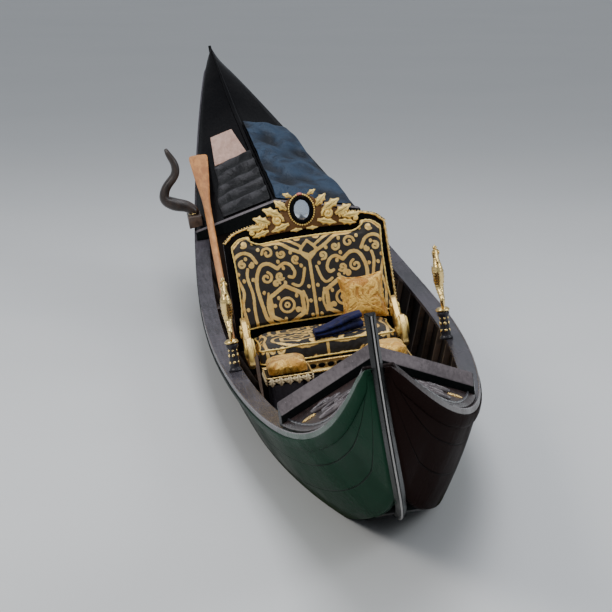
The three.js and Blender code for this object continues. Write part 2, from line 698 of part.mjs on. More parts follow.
// Loose on the seat: a pillow that leans on the back, and a folded cloth that is thicker to port
const PILLOW = { s: 5400, y: 397, z: 481, length: 95, width: 290, height: 296, edge: 28, lean: -0.2 };
const FOLDED = { s: 5190, y: 215, length: 210, width: 300, edge: 12, thin: 48, thick: 132 };

function makeSeatPieces() {
  const pillow = pad(PILLOW.length, PILLOW.width, PILLOW.height, PILLOW.edge).rotateY(PILLOW.lean);
  add('gold_pillow', pillow.translate(MIDSHIP - PILLOW.s, PILLOW.y, PILLOW.z), GOLD_CLOTH);
  const { s, y, length, width, edge, thin, thick } = FOLDED;
  const base = SEAT_TOP + SEAT_GAP;
  const ring = (side, high, inset) => [
    [MIDSHIP - s - length / 2 + inset, y + side, base], [MIDSHIP - s + length / 2 - inset, y + side, base],
    [MIDSHIP - s + length / 2 - inset, y + side, base + high - inset],
    [MIDSHIP - s - length / 2 + inset, y + side, base + high - inset],
  ];
  const half = width / 2;
  add('blue_cloth', loft([
    ring(-half, thin, edge), ring(edge - half, thin, 0), ring(half - edge, thick, 0), ring(half, thick, edge),
  ]), BLUE_CLOTH);
}

const STOOL = { half: 140, halfWide: 120, low: 255, high: 300, leg: 16, legAt: 115, legWide: 95 };
const STOOL_PAD = { length: 270, width: 236, thick: 80, edge: 20 };
const STOOLS = [
  { word: 'starboard', s: 4450, y: -140 },
  { word: 'port', s: 4450, y: 400 },
];

function makeStools() {
  for (const { word, s, y } of STOOLS) {
    const { half, halfWide, low, high, leg, legAt, legWide } = STOOL;
    const floor = floorTop(hullAt(s - legAt - leg)) + SEAT_GAP;
    const legs = [-1, 1].flatMap((a) => [-1, 1].map((b) => {
      const [atS, atY] = [s + a * legAt, y + b * legWide];
      return box(atS - leg, atS + leg, atY - leg, atY + leg, floor, low + leg);
    }));
    const frame = box(s - half, s + half, y - halfWide, y + halfWide, low, high);
    add(`stool_${word}`, unite([frame, ...legs]), LACQUER);
    const cushion = pad(STOOL_PAD.length, STOOL_PAD.width, STOOL_PAD.thick, STOOL_PAD.edge);
    const z = high + SEAT_GAP + STOOL_PAD.thick / 2;
    add(`stool_cushion_${word}`, cushion.translate(MIDSHIP - s, y, z), GOLD_CLOTH);
  }
}

// Brass sea-horses on black pedestals
const SEAHORSE_BREADTH = 54;
const PEDESTAL = { s: 4150, top: 22, foot: 36, height: 150 };
const SEAHORSES = [
  { word: 'port', y: 700 },
  { word: 'starboard', y: -424 },
];

function makeSeahorses() {
  const { s, top, foot, height } = PEDESTAL;
  for (const { word, y } of SEAHORSES) {
    const base = railTop(hullAt(s - foot)) + SEAT_GAP;
    const pedestal = new THREE.CylinderGeometry(top, foot, height, 8).rotateX(Math.PI / 2);
    add(`pedestal_${word}`, pedestal.translate(MIDSHIP - s, y, base + height / 2), LACQUER);
    const shape = new THREE.Shape();
    shape.moveTo(-40, 0);
    shape.lineTo(44, 0);
    shape.quadraticCurveTo(70, 50, 36, 90);
    shape.quadraticCurveTo(20, 130, 52, 180);
    shape.quadraticCurveTo(70, 220, 48, 262);
    shape.lineTo(86, 244);
    shape.lineTo(96, 268);
    shape.lineTo(44, 322);
    shape.lineTo(20, 352);
    shape.lineTo(8, 320);
    shape.quadraticCurveTo(-30, 260, -22, 180);
    shape.quadraticCurveTo(-24, 120, -56, 80);
    shape.quadraticCurveTo(-70, 30, -40, 0);
    const figure = uprightPlate(shape, SEAHORSE_BREADTH);
    figure.translate(MIDSHIP - s, y + SEAHORSE_BREADTH / 2, base + height + SEAT_GAP);
    add(`seahorse_${word}`, figure, BRASS);
  }
}

// Oarlock in its socket on the starboard quarter
const OARLOCK = { s: 8130, y: -408, height: 52, half: 44, reach: 130 };
const PEG = { length: 56, half: 22, depth: 38, clear: 2 };
const BLOCK_GAP = 0.6;

// Spine of the oarlock: out, up, then half width across and half length along the boat
const OARLOCK_SPINE = [
  { out: 0, up: 0, across: 34, along: 58 },
  { out: 0, up: 24, across: 36, along: 60 },
  { out: -44, up: 60, across: 40, along: 62 },
  { out: -120, up: 86, across: 44, along: 64 },
  { out: -176, up: 128, across: 36, along: 58 },
  { out: -156, up: 200, across: 31, along: 52 },
  { out: -88, up: 276, across: 29, along: 50 },
  { out: -80, up: 345, across: 27, along: 46 },
  { out: -112, up: 420, across: 20, along: 34 },
  { out: -124, up: 456, across: 10, along: 18 },
];

function makeOarlock() {
  const { s: at, y, height, half, reach } = OARLOCK;
  const mid = hullAt(at);
  const top = deckTop(AFTDECK, at, y - mid.yc) + height;
  const block = along(at - reach, at + reach, (f) => {
    const [outer, inner] = [y - half - f.yc, y + half - f.yc];
    return [
      [outer, top], [inner, top], [inner, deckTop(AFTDECK, f.s, inner) + BLOCK_GAP],
      [outer, deckTop(AFTDECK, f.s, outer) + BLOCK_GAP],
    ];
  });
  const [pegHalf, socketHalf] = [PEG.length / 2, PEG.length / 2 + PEG.clear];
  const [yFrom, yTo] = [y - PEG.half - PEG.clear, y + PEG.half + PEG.clear];
  const socket = box(at - socketHalf, at + socketHalf, yFrom, yTo, top - 400, top + 50);
  add('oarlock_block', cut(block, socket), DARK_WOOD);
  const rings = OARLOCK_SPINE.map(({ out, up, across, along: reachAlong }, i) => {
    const a = OARLOCK_SPINE[Math.max(i - 1, 0)];
    const b = OARLOCK_SPINE[Math.min(i + 1, OARLOCK_SPINE.length - 1)];
    const length = Math.hypot(b.out - a.out, b.up - a.up);
    const side = { y: (b.up - a.up) / length, z: -(b.out - a.out) / length };
    return Array.from({ length: 8 }, (_, k) => {
      const angle = Math.PI / 8 + Math.PI * k / 4;
      const d = across * Math.cos(angle);
      return [
        MIDSHIP - at + reachAlong * Math.sin(angle), y + out + side.y * d, top + SEAT_GAP + up + side.z * d,
      ];
    });
  });
  const peg = box(at - pegHalf, at + pegHalf, y - PEG.half, y + PEG.half, top - PEG.depth, top + 10);
  add('oarlock', unite([loft(rings), peg]), DARK_WOOD);
}

// The oar lies along the starboard side, blade aft on the stern's edge
const OAR = { blade: [9230, -292, 1015.2], handle: [5180, -376, 212], bladeLength: 1100 };

function makeOar() {
  const from = new THREE.Vector3(MIDSHIP - OAR.handle[0], OAR.handle[1], OAR.handle[2]);
  const to = new THREE.Vector3(MIDSHIP - OAR.blade[0], OAR.blade[1], OAR.blade[2]);
  const axis = to.clone().sub(from);
  const length = axis.length();
  axis.normalize();
  const wide = new THREE.Vector3(0, 1, 0).addScaledVector(axis, -axis.y).normalize();
  const thin = axis.clone().cross(wide).normalize();
  const sections = [
    { at: 0, wide: 16, thin: 16 },
    { at: 90, wide: 20, thin: 20 },
    { at: length - OAR.bladeLength, wide: 25, thin: 25 },
    { at: length - 0.6 * OAR.bladeLength, wide: 46, thin: 14 },
    { at: length - 80, wide: 68, thin: 8 },
    { at: length, wide: 62, thin: 6 },
  ];
  const rings = sections.map((section) => Array.from({ length: 10 }, (_, k) => {
    const a = 2 * Math.PI * k / 10;
    return from.clone().addScaledVector(axis, section.at).addScaledVector(wide, section.wide * Math.cos(a))
      .addScaledVector(thin, section.thin * Math.sin(a)).toArray();
  }));
  add('oar', loft(rings), OAR_WOOD);
}

// Cloths that lie over the stern deck, from one station of the hull to another
const CLOTH_FROM_RIDGE = 17;
const DECK_CLOTHS = [
  {
    name: 'blue_tarp', sign: 1, from: 7990, to: 9500, inner: 60, outer: 40, reach: 0.99, gap: 0.5,
    material: TARP_CLOTH,
  },
  {
    name: 'dark_cover', sign: -1, from: 7990, to: 8950, inner: 50, outer: 30, reach: 0.68, gap: 1.2,
    material: DARK_CLOTH,
  },
];

function nearestStation(s) {
  const stations = frames.map((frame) => frame.s);
  return stations.reduce((best, at) => (Math.abs(at - s) < Math.abs(best - s) ? at : best));
}

function makeDeckCloths() {
  for (const { name, sign, from, to, inner, outer, reach, gap, material } of DECK_CLOTHS) {
    const top = (f, y) => deckTop(AFTDECK, f.s, y) + gap;
    add(name, along(nearestStation(from), nearestStation(to), (f) => {
      const [near, far] = [CLOTH_FROM_RIDGE, reach * deckEdge(AFTDECK, f.s)];
      return [
        [sign * far, top(f, far)], [sign * near, top(f, near)],
        [sign * near, top(f, near) + inner], [sign * far, top(f, far) + outer],
      ];
    }), material);
  }
}

makeSides();
makeBottom();
makePosts();
makeEnds();
makeFloor();
makeThwarts();
makeSofa();
makeSeatPieces();
makeStools();
makeSeahorses();
makeOarlock();
makeOar();
makeDeckCloths();

export default gondola;
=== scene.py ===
"""A gondola afloat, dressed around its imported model: fine surfaces, cloth and finishes.

Metres. In the boat's own frame s runs aft from the bow head, y to port and z up from the
water. The boat floats heeled to starboard, so every piece is turned by HEEL when it is made.
"""
import math

import bmesh
import bpy
import numpy as np
from mathutils import Matrix, Vector
from mathutils.bvhtree import BVHTree
from mathutils.kdtree import KDTree


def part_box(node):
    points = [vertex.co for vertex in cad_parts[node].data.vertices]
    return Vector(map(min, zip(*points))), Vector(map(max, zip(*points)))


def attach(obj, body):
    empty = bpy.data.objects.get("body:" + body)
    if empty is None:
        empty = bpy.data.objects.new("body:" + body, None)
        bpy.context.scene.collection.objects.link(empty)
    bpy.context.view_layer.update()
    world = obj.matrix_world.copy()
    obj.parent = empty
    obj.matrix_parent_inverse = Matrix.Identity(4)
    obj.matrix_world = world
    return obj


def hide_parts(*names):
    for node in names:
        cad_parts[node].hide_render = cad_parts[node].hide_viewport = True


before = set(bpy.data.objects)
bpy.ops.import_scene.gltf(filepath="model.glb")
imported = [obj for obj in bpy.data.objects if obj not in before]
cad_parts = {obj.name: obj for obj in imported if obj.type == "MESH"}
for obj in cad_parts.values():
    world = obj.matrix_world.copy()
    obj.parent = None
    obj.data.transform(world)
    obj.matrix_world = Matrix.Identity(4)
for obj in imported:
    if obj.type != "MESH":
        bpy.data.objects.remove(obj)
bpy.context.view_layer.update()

# Driving dimensions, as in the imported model
LENGTH = 10.7
MIDSHIP = 5.35
HEEL = math.radians(8)
LOWEST = 5.3
SHEER_MID, SHEER_BOW, SHEER_STERN = 0.369, 1.105, 1.543
SHEER_BOW_POWER, SHEER_STERN_POWER = 4.45, 2.2
DRAFT, BOW_HEAD = 0.21, 1.3
BOW_RISE_POWERS, STERN_RISE_POWERS = (0.5, 1.9), (0.8, 2.8)
HALF_BEAM, WIDEST, END_HALF, BEAM_POWERS = 0.660, 5.45, 0.03, (2.1, 0.9)
SIDE_SHIFT, END_SHIFT, SHIFT_POWER = 0.155, -0.038, (3.8, 2.2)
BOTTOM_HALF, BOTTOM_REACH, BOTTOM_POWERS = 0.42, 4.9, (2.4, 1.5)
BOTTOM_START, BOTTOM_STOP = 1.25, 9.45
PLANK, BOTTOM_THICK, BULGE = 0.022, 0.03, 0.016
SEAT_GAP = 0.0004
END_CLEAR = 0.06
RAIL_WIDTH, RAIL_THICK, RAIL_LIP = 0.095, 0.026, 0.004
MOULDING_DEPTH, MOULDING_PROUD = 0.055, 0.014
FRAME_HEIGHT, FLOOR_THICK = 0.045, 0.018
FLOOR_LENGTHS = ((2.21, 3.898), (3.902, 6.098), (6.102, 7.79))
BULKHEAD_X = {"fore": MIDSHIP - 2.114, "aft": MIDSHIP - 7.890}
FOREDECK = {"start": 0.13, "stop": 2.15, "flat": 2.15, "rise": 0.2, "thick": 0.018, "peak_aft": True,
            "board": 0.08, "slope": 0.058}
AFTDECK = {"start": 7.85, "stop": 10.64, "flat": 10.56, "rise": 0.12, "thick": 0.018, "peak_aft": False,
           "board": 0.042, "slope": 0, "sweep": {"start": 9.7, "rise": 0.094, "power": 1.3}}
RIDGE_HALF, RIDGE_FALL = 0.016, 0.0052
DECK_INSET = 0.012
COAMING = {"depth": 0.075, "proud": 0.038, "crown": 0.008}
SIDES = {"port": 1, "starboard": -1}
# Taken as nothing: also the radius that closes the end of a turned form
TINY = 0.0001

HEEL_TURN = Matrix.Rotation(HEEL, 4, "X")


# Shader maths

class Wire:
    """An output of a material's nodes. Python's operators on it add Math nodes."""

    def __init__(self, tree, socket=None):
        self.tree = tree
        self.socket = socket

    def node(self, kind, inputs=None, out=0, **settings):
        made = self.tree.nodes.new("ShaderNode" + kind)
        for name, value in settings.items():
            setattr(made, name, value)
        for name, value in (inputs or {}).items():
            if isinstance(value, Wire):
                self.tree.links.new(value.socket, made.inputs[name])
            else:
                made.inputs[name].default_value = value
        return Wire(self.tree, made.outputs[out])

    def math(self, operation, *values):
        return self.node("Math", dict(enumerate(values)), operation=operation)

    def __add__(self, other):
        return self.math("ADD", self, other)

    def __sub__(self, other):
        return self.math("SUBTRACT", self, other)

    def __rsub__(self, other):
        return self.math("SUBTRACT", other, self)

    def __mul__(self, other):
        return self.math("MULTIPLY", self, other)

    __radd__ = __add__
    __rmul__ = __mul__

    def size(self):
        return self.math("ABSOLUTE", self)

    def most(self, other):
        return self.math("MAXIMUM", self, other)

    def step(self, low, high):
        """0 below low and 1 above high, smooth between them."""
        return self.node("MapRange", {0: self, 1: low, 2: high}, interpolation_type="SMOOTHSTEP")

    def place(self, scale=(1, 1, 1), turn=(0, 0, 0)):
        return self.node("Mapping", {"Vector": self, "Scale": scale, "Rotation": turn})

    def noise(self, scale, detail=3, rough=0.55, warp=0.0):
        return self.node("TexNoise", {
            "Vector": self, "Scale": scale, "Detail": detail, "Roughness": rough, "Distortion": warp})

    def crests(self, *noise):
        """1 along winding lines of a noise, falling off beside them."""
        return 1 - (self.noise(*noise) - 0.5).size() * 6

    def tint(self, low, high):
        """This value as the share of high in a blend of two colours."""
        ends = {6 + i: end if isinstance(end, Wire) else (*end, 1) for i, end in enumerate((low, high))}
        return self.node("Mix", {0: self, **ends}, out=2, data_type="RGBA")

    def bump(self, depth):
        return self.node("Bump", {"Height": self, "Distance": depth, "Strength": 1.0})


def finish_of(name, build, **fixed):
    """A named material. build wires what changes over the surface; fixed holds what doesn't."""
    material = bpy.data.materials.new(name)
    material.use_nodes = True
    tree = material.node_tree
    shader = tree.nodes["Principled BSDF"]
    for key, value in fixed.items():
        shader.inputs[key.replace("_", " ")].default_value = value
    for key, value in build(Wire(tree)).items():
        tree.links.new(value.socket, shader.inputs[key])
    return material


def object_space(start):
    """Object coordinates, turned back to the boat's upright frame."""
    return start.node("TexCoord", out="Object").place(turn=(-HEEL, 0, 0))


def stored(start, name):
    """A value that the shape holds at each point."""
    return start.node("Attribute", attribute_name=name, out=2)


def scaled(color, factor, more=0.0):
    return tuple(min(1, factor * c + more) for c in color)


def lacquer(name, low, high, rough=(0.14, 0.32), specular=0.05, stain=0.0, seams=(), bow=None,
            reach=(3.15, 3.95)):
    """Glossy boat lacquer: brush marks, dulled patches, plank seams, a wet foot, and at the bow a painted
    reflection tint.
    """
    def build(start):
        place = object_space(start)
        clouds = place.noise(2.1, 5, 0.6)
        streaks = place.place(scale=(0.8, 14, 14)).noise(5, 4, 0.6)
        scuffs = place.place(scale=(3, 9, 9)).noise(9, 6, 0.7).step(0.6, 0.78)
        color = (clouds * 0.6 + streaks * 0.4).step(0.35, 0.7).tint(low, high)
        # bow is a painted reflection colour, faded in towards the bow over reach
        if bow:
            forward = start.node("SeparateXYZ", {0: place}, out="X")
            ends = (clouds * 0.8 + 0.6).tint((0, 0, 0), bow)
            color = (forward + clouds * 0.6).step(*reach).tint(color, ends)
        color = (scuffs * 0.35).tint(color, scaled(high, 2.6, 0.012))
        shine = clouds.step(0.3, 0.75) * (rough[1] - rough[0]) + rough[0] + scuffs * 0.18
        relief = streaks * 0.35 + clouds
        if stain:
            height = start.node("SeparateXYZ", {0: place}, out="Z")
            wet = 1 - (height + (place.noise(7, 4, 0.7) - 0.5) * 0.07).step(0.02, stain)
            color = (wet * 0.75).tint(color, (0.045, 0.055, 0.032))
            shine = shine + wet * 0.35
        if seams:
            lines = [1 - (stored(start, "girth") - seam).size().step(0.002, 0.011) for seam in seams]
            groove = lines[0].most(lines[1])
            color = (groove * 0.6).tint(color, (0.004, 0.004, 0.004))
            relief = relief - groove * 1.2
        return {"Base Color": color, "Roughness": shine, "Normal": relief.bump(0.004)}
    return finish_of(name, build, Specular_IOR_Level=specular)


def wood(name, dark, light, along, rough=0.4, coat=0.2, wear=0.0):
    """Sawn or carved wood with its grain along one axis, darker pores and rubbed patches."""
    def build(start):
        stretch = tuple(1.0 if axis == along else 11.0 for axis in range(3))
        place = object_space(start)
        grain = place.place(scale=stretch).noise(3.2, 6, 0.62, 0.5)
        pores = place.place(scale=tuple(3 * v for v in stretch)).noise(9, 3, 0.6)
        boards = place.noise(1.3, 2, 0.5)
        rubbed = place.noise(6, 5, 0.65).step(0.52, 0.72)
        color = (grain * 0.75 + boards * 0.35).step(0.38, 0.72).tint(dark, light)
        color = (pores.step(0.55, 0.7) * 0.55).tint(color, scaled(dark, 0.45))
        color = (rubbed * wear).tint(color, scaled(light, 1.35, 0.05))
        shine = grain * 0.2 + rough + rubbed * wear * 0.35
        return {"Base Color": color, "Roughness": shine, "Normal": (grain + pores * 0.5).bump(0.0016)}
    return finish_of(name, build, Coat_Weight=coat, Coat_Roughness=0.15)


def gold_leaf(name, bright, deep, metallic, rough):
    """Gilding or brass: bright on what stands out, brown in the hollows that cavity marks."""
    def build(start):
        place = object_space(start)
        speckle = place.noise(38, 5, 0.7)
        patch = place.noise(9, 4, 0.6)
        worn = stored(start, "cavity") * 0.85 + (patch - 0.5) * 0.5 + (speckle - 0.5) * 0.35
        worn = worn.step(0.25, 0.8)
        color = (patch.step(0.5, 0.75) * 0.35).tint(worn.tint(bright, deep), scaled(bright, 0.72))
        return {"Base Color": color, "Metallic": (1 - worn * 0.75) * metallic,
                "Roughness": speckle * 0.18 + worn * 0.25 + rough, "Normal": (speckle + patch).bump(0.0012)}
    return finish_of(name, build)


def cloth(name, dark, light, rough, crease, weave, sheen, ridges):
    """Plain woven cloth: fine weave and soft creases; its colour is lighter along the creases' crests, a
    painted highlight, and darker in the folds' hollows that cavity marks, a painted shade.
    """
    def build(start):
        place = object_space(start)
        fold = place.crests(ridges, 4, 0.6, 0.6).step(0.0, 1.0)
        wide = place.noise(5, 4, 0.6)
        thread = place.place(scale=(1, 1, 0.35)).noise(weave, 2, 0.5)
        tone = (wide * 0.55 + fold * 0.3 + thread * 0.25).step(0.3, 0.85)
        # painted shade: darker where cavity marks a fold's hollow
        color = (stored(start, "cavity") * 0.93).tint(tone.tint(dark, light), scaled(dark, 0.3))
        relief = fold * 0.6 * crease + wide * 0.9 + thread * 0.05
        return {"Base Color": color, "Roughness": thread * 0.12 + rough, "Normal": relief.bump(0.006)}
    return finish_of(name, build, Sheen_Weight=sheen, Sheen_Roughness=0.4, Specular_IOR_Level=0.22)


def satin(name, deep, middle, bright):
    """Gold satin: soft crinkles that catch the light along their crests."""
    def build(start):
        place = object_space(start)
        crush = place.crests(10, 4, 0.55, 1.1).step(0.0, 1.0)
        crest = crush * 0.72 + place.crests(31, 3, 0.55, 0.7).step(0.1, 1.0) * 0.28
        weft = place.place(scale=(1, 1, 0.2)).noise(700, 2, 0.5)
        color = place.noise(6, 3, 0.5).step(0.35, 0.7).tint(deep, middle)
        # the crests' bright colour is a painted highlight
        color = (crest.step(0.3, 1.0) * 0.8 + weft * 0.12).tint(color, bright)
        relief = crest + weft * 0.03
        return {"Base Color": color, "Roughness": 0.50 - crest * 0.16, "Normal": relief.bump(0.007)}
    return finish_of(name, build, Metallic=0.2, Sheen_Weight=0.2, Sheen_Roughness=0.35)


def damask(name):
    """Black damask with raised gold scrolls. The value thread is the distance from their edge."""
    def build(start):
        place = object_space(start)
        waver = (place.noise(70, 3, 0.6) - 0.5) * 0.006
        gold = 1 - (stored(start, "thread") + waver).step(0.0004, 0.0036)
        rib = place.noise(420, 2, 0.5)
        fleck = place.noise(150, 3, 0.7).step(0.66, 0.72) * 0.35
        ground = place.noise(30, 4, 0.6).tint((0.006, 0.005, 0.005), (0.022, 0.016, 0.011))
        ground = fleck.tint(ground, (0.20, 0.13, 0.045))
        leaf_tone = (place.noise(24, 4, 0.65) * 0.6 + rib * 0.4).step(0.3, 0.75)
        color = gold.tint(ground, leaf_tone.tint((0.74, 0.43, 0.105), (1.0, 0.74, 0.27)))
        relief = gold + rib * 0.16 + place.noise(18, 3, 0.5) * 0.8
        return {"Base Color": color, "Roughness": 0.66 - gold * 0.24 + rib * 0.08,
                "Metallic": gold * 0.3, "Normal": relief.bump(0.0028)}
    return finish_of(name, build, Sheen_Weight=0.12, Sheen_Roughness=0.4)


def speckled(name, low, high, scales, rough, **fixed):
    """A hard bright finish with a fine change of colour and gloss: rough is its least and its range."""
    def build(start):
        color, gloss = (object_space(start).noise(scale, 3) for scale in scales)
        return {"Base Color": color.tint(low, high), "Roughness": gloss * rough[1] + rough[0]}
    return finish_of(name, build, **fixed)


# Painted light: the starboard copy is green-black, turning green towards the bow, a painted reflection of
# water; the port copy is darkened brown-black, a painted shade, with a warm painted reflection at its bow.
HULL_LACQUER_AND_REFLECTION = {
    side: lacquer(f"{side}_hull_lacquer_and_reflection", low, high, specular=specular, stain=0.11, seams=(0.36, 0.68),
                  bow=bow, reach=(1.2, 3.6))
    for side, low, high, specular, bow in (
        ("port", (0.006, 0.0045, 0.0045), (0.014, 0.010, 0.0095), 0.0001, (0.012, 0.0066, 0.0058)),
        ("starboard", (0.004, 0.007, 0.0058), (0.009, 0.014, 0.0115), 0.001, (0.010, 0.038, 0.021)))}
# Painted light: the rails' grey-lavender is a painted sky reflection on black lacquer, lighter on the
# starboard copy as its lit side, and green or warm at the bow as painted reflections.
RAIL_LACQUER_AND_SKY_REFLECTION = {
    side: lacquer(f"{side}_rail_lacquer_and_sky_reflection", low, high, (0.18, 0.34), bow=bow)
    for side, low, high, bow in (
        ("port", (0.030, 0.027, 0.032), (0.078, 0.071, 0.084), (0.032, 0.019, 0.018)),
        ("starboard", (0.036, 0.033, 0.039), (0.105, 0.096, 0.112), (0.016, 0.052, 0.030)))}
LACQUER, DECK_LACQUER, FOREDECK_LACQUER, TRIM_LACQUER, HIGHLIGHT_LACQUER, WELL_PAINT = (
    lacquer(*row) for row in (
        ("post_lacquer", (0.005, 0.006, 0.006), (0.011, 0.012, 0.012), (0.14, 0.32), 0.012),
        ("deck_lacquer", (0.0035, 0.0035, 0.0042), (0.008, 0.0075, 0.008), (0.12, 0.26), 0.015),
        # the foredeck's taupe and red-brown tone is a painted reflection on black lacquer
        ("foredeck_lacquer_painted_reflection", (0.012, 0.009, 0.009), (0.058, 0.036, 0.033), (0.2, 0.4), 0.08),
        ("trim_lacquer", (0.018, 0.017, 0.020), (0.046, 0.042, 0.050), (0.18, 0.34), 0.25),
        # a light grey lacquer that paints highlights and sky reflections on black lacquer: the rails'
        # edges, the boards' tops and the foredeck's scrolls
        ("painted_highlight_lacquer", (0.070, 0.059, 0.062), (0.165, 0.140, 0.146), (0.2, 0.36), 0.3),
        ("well_paint", (0.008, 0.007, 0.007), (0.018, 0.015, 0.014), (0.35, 0.5), 0.1)))
WALNUT_X, WALNUT_Y, WALNUT_Z, LARCH, RIB_WOOD, OARLOCK_WOOD, PINK_REFLECTION_WOOD, OAR_WOOD = (wood(*row) for row in (
    ("walnut_along", (0.035, 0.018, 0.010), (0.10, 0.052, 0.028), 0, 0.32, 0.3, 0.3),
    ("walnut_across", (0.035, 0.018, 0.010), (0.10, 0.052, 0.028), 1, 0.32, 0.3, 0.3),
    ("walnut_upright", (0.018, 0.010, 0.007), (0.052, 0.027, 0.016), 2, 0.36, 0.15, 0.3),
    ("larch_boards", (0.075, 0.042, 0.024), (0.17, 0.10, 0.058), 0, 0.5, 0.05, 0.6),
    ("dark_rib_wood", (0.020, 0.012, 0.008), (0.060, 0.035, 0.021), 1, 0.5, 0.05, 0.4),
    ("oarlock_walnut", (0.012, 0.007, 0.005), (0.040, 0.022, 0.014), 2, 0.3, 0.2, 0.35),
    # pink wood that paints a reflection on the stern deck
    ("pink_reflection_wood", (0.44, 0.25, 0.185), (0.66, 0.43, 0.34), 0, 0.3, 0.4, 0.35),
    ("oar_wood", (0.42, 0.155, 0.040), (0.72, 0.32, 0.095), 0, 0.42, 0.15, 0.3)))
GILT, GILT_GROUND, STEEL, BRASS, CREAM, IVORY = (gold_leaf(*row) for row in (
    ("gilt_carving", (0.86, 0.60, 0.22), (0.16, 0.06, 0.02), 0.8, 0.26),
    ("gilt_ground", (0.15, 0.070, 0.020), (0.035, 0.014, 0.006), 0.4, 0.46),
    ("polished_band", (0.40, 0.39, 0.38), (0.16, 0.14, 0.12), 1.0, 0.30),
    ("cast_brass", (0.90, 0.66, 0.27), (0.20, 0.10, 0.03), 1.0, 0.17),
    ("cream_gilding", (1.0, 0.72, 0.22), (0.15, 0.055, 0.012), 0.36, 0.30),
    ("ivory_gilding", (0.97, 0.80, 0.50), (0.30, 0.15, 0.05), 0.15, 0.36)))
BLUE, TARP, DARK_COVER = (cloth(*row) for row in (
    ("blue_blanket", (0.0012, 0.0022, 0.020), (0.004, 0.008, 0.070), 0.72, 1.0, 700, 0.05, 9),
    ("blue_grey_tarp", (0.007, 0.015, 0.030), (0.024, 0.050, 0.092), 0.46, 1.3, 900, 0.0, 5),
    ("dark_grey_cover", (0.006, 0.006, 0.007), (0.058, 0.056, 0.062), 0.46, 1.3, 800, 0.0, 7)))
DAMASK = damask("scrolled_damask")
SATIN = satin("gold_satin", (0.47, 0.19, 0.018), (0.76, 0.385, 0.046), (1.0, 0.61, 0.13))
# the mirror's blue-white colour is a painted sky reflection on its silvering
GLASS = speckled("mirror_silvering_painted_sky", (0.55, 0.66, 0.86), (0.90, 0.93, 0.97), (8, 22), (0.06, 0.12),
                 Metallic=0.85)
RED_ENAMEL = speckled("red_enamel", (0.42, 0.06, 0.04), (0.80, 0.30, 0.22), (60, 90), (0.25, 0.2),
                      Coat_Weight=0.3)


# Shapes

def lerp(a, b, t):
    return a + (b - a) * t


def turns_of(count):
    """Even angles once round."""
    return [2 * math.pi * k / count for k in range(count)]


def distances(points):
    """Distance along a line of points, from its first."""
    steps = np.linalg.norm(np.diff(np.array(points, float), axis=0), axis=1)
    return [0.0, *np.cumsum(steps)]


class Shape:
    """Points (s, y, z), faces, UVs in metres and named values of one piece of the boat."""

    def __init__(self):
        self.points = []
        self.faces = []
        self.uvs = []
        self.finishes = []
        self.values = {}

    def face(self, corners, uvs, finish):
        self.faces.append(corners)
        self.uvs.append(uvs)
        self.finishes.append(finish)

    def grid(self, rows, closed=True, finish=0, girth=None):
        """Quads between rows of points. finish is a number, or one number for each column."""
        first, count = len(self.points), len(rows[0])
        columns = count if closed else count - 1
        finishes = [finish] * count if isinstance(finish, int) else finish
        along = distances([np.mean(row, axis=0) for row in rows])
        around = [distances([*row, row[0]]) for row in rows]
        for row in rows:
            self.points += [tuple(point) for point in row]
        for i in range(len(rows) - 1):
            for j in range(columns):
                k = (j + 1) % count
                corners = [(i, j, j), (i, k, j + 1), (i + 1, k, j + 1), (i + 1, j, j)]
                self.face([first + a * count + b for a, b, _ in corners],
                          [(along[a], around[a][c]) for a, _, c in corners], finishes[j])
        if girth is not None:
            self.values.setdefault("girth", {}).update(
                (first + i * count + j, girth[j]) for i in range(len(rows)) for j in range(count))
        if closed:
            for i in (0, len(rows) - 1):
                self.face([first + i * count + j for j in range(count)], [(p[1], p[2]) for p in rows[i]],
                          finishes[0])
        return self

    def tube(self, path, radius, sides=8, flat=1.0, lift=(0, 0, 1)):
        """A round rod along a path. flat squeezes it across the direction of lift."""
        path = [Vector(point) for point in path]
        radii = [radius] * len(path) if isinstance(radius, (int, float)) else list(radius)
        rows = []
        side = None
        for i, point in enumerate(path):
            ahead = (path[min(i + 1, len(path) - 1)] - path[max(i - 1, 0)]).normalized()
            if side is None:
                side = ahead.cross(Vector(lift))
                if side.length < TINY:
                    side = ahead.orthogonal()
            side = (side - ahead * side.dot(ahead)).normalized()
            over = side.cross(ahead) * flat
            rows.append([point + (side * math.cos(a) + over * math.sin(a)) * radii[i]
                         for a in turns_of(sides)])
        return self.grid(rows)

    def lathe(self, profile, centre, sides=20, axis=(0, 0, 1)):
        """A turned form: profile holds (radius, height) pairs from the foot up."""
        axis = Vector(axis).normalized()
        across = axis.orthogonal().normalized()
        other = axis.cross(across)
        base = Vector(centre)
        return self.grid([[base + axis * height + (across * math.cos(a) + other * math.sin(a)) * radius
                           for a in turns_of(sides)] for radius, height in profile])

    def plate(self, outline, place, thick, rim=0.0, steps=1):
        """A flat outline of (u, v) with thickness. place turns (u, v, depth) to a point."""
        middle = np.mean(outline, axis=0)
        levels = [(0, thick)]
        if rim:
            angles = [math.pi / 2 * k / (steps + 1) for k in range(steps + 2)]
            levels = [(rim * (1 - math.cos(a)), thick - rim + rim * math.sin(a)) for a in angles]
        rows = [[place(u, v, 0.0) for u, v in outline]]
        for shrink, rise in levels:
            row = []
            for u, v in outline:
                reach = math.hypot(u - middle[0], v - middle[1])
                share = 1 - shrink / max(reach, rim, TINY)
                row.append(place(lerp(middle[0], u, share), lerp(middle[1], v, share), rise))
            rows.append(row)
        return self.grid(rows)

    def block(self, low, high):
        """A plain block between two corners."""
        (start, left, foot), (stop, right, top) = low, high
        corners = ((left, foot), (right, foot), (right, top), (left, top))
        return self.grid([[(s, *corner) for corner in corners] for s in (start, stop)])


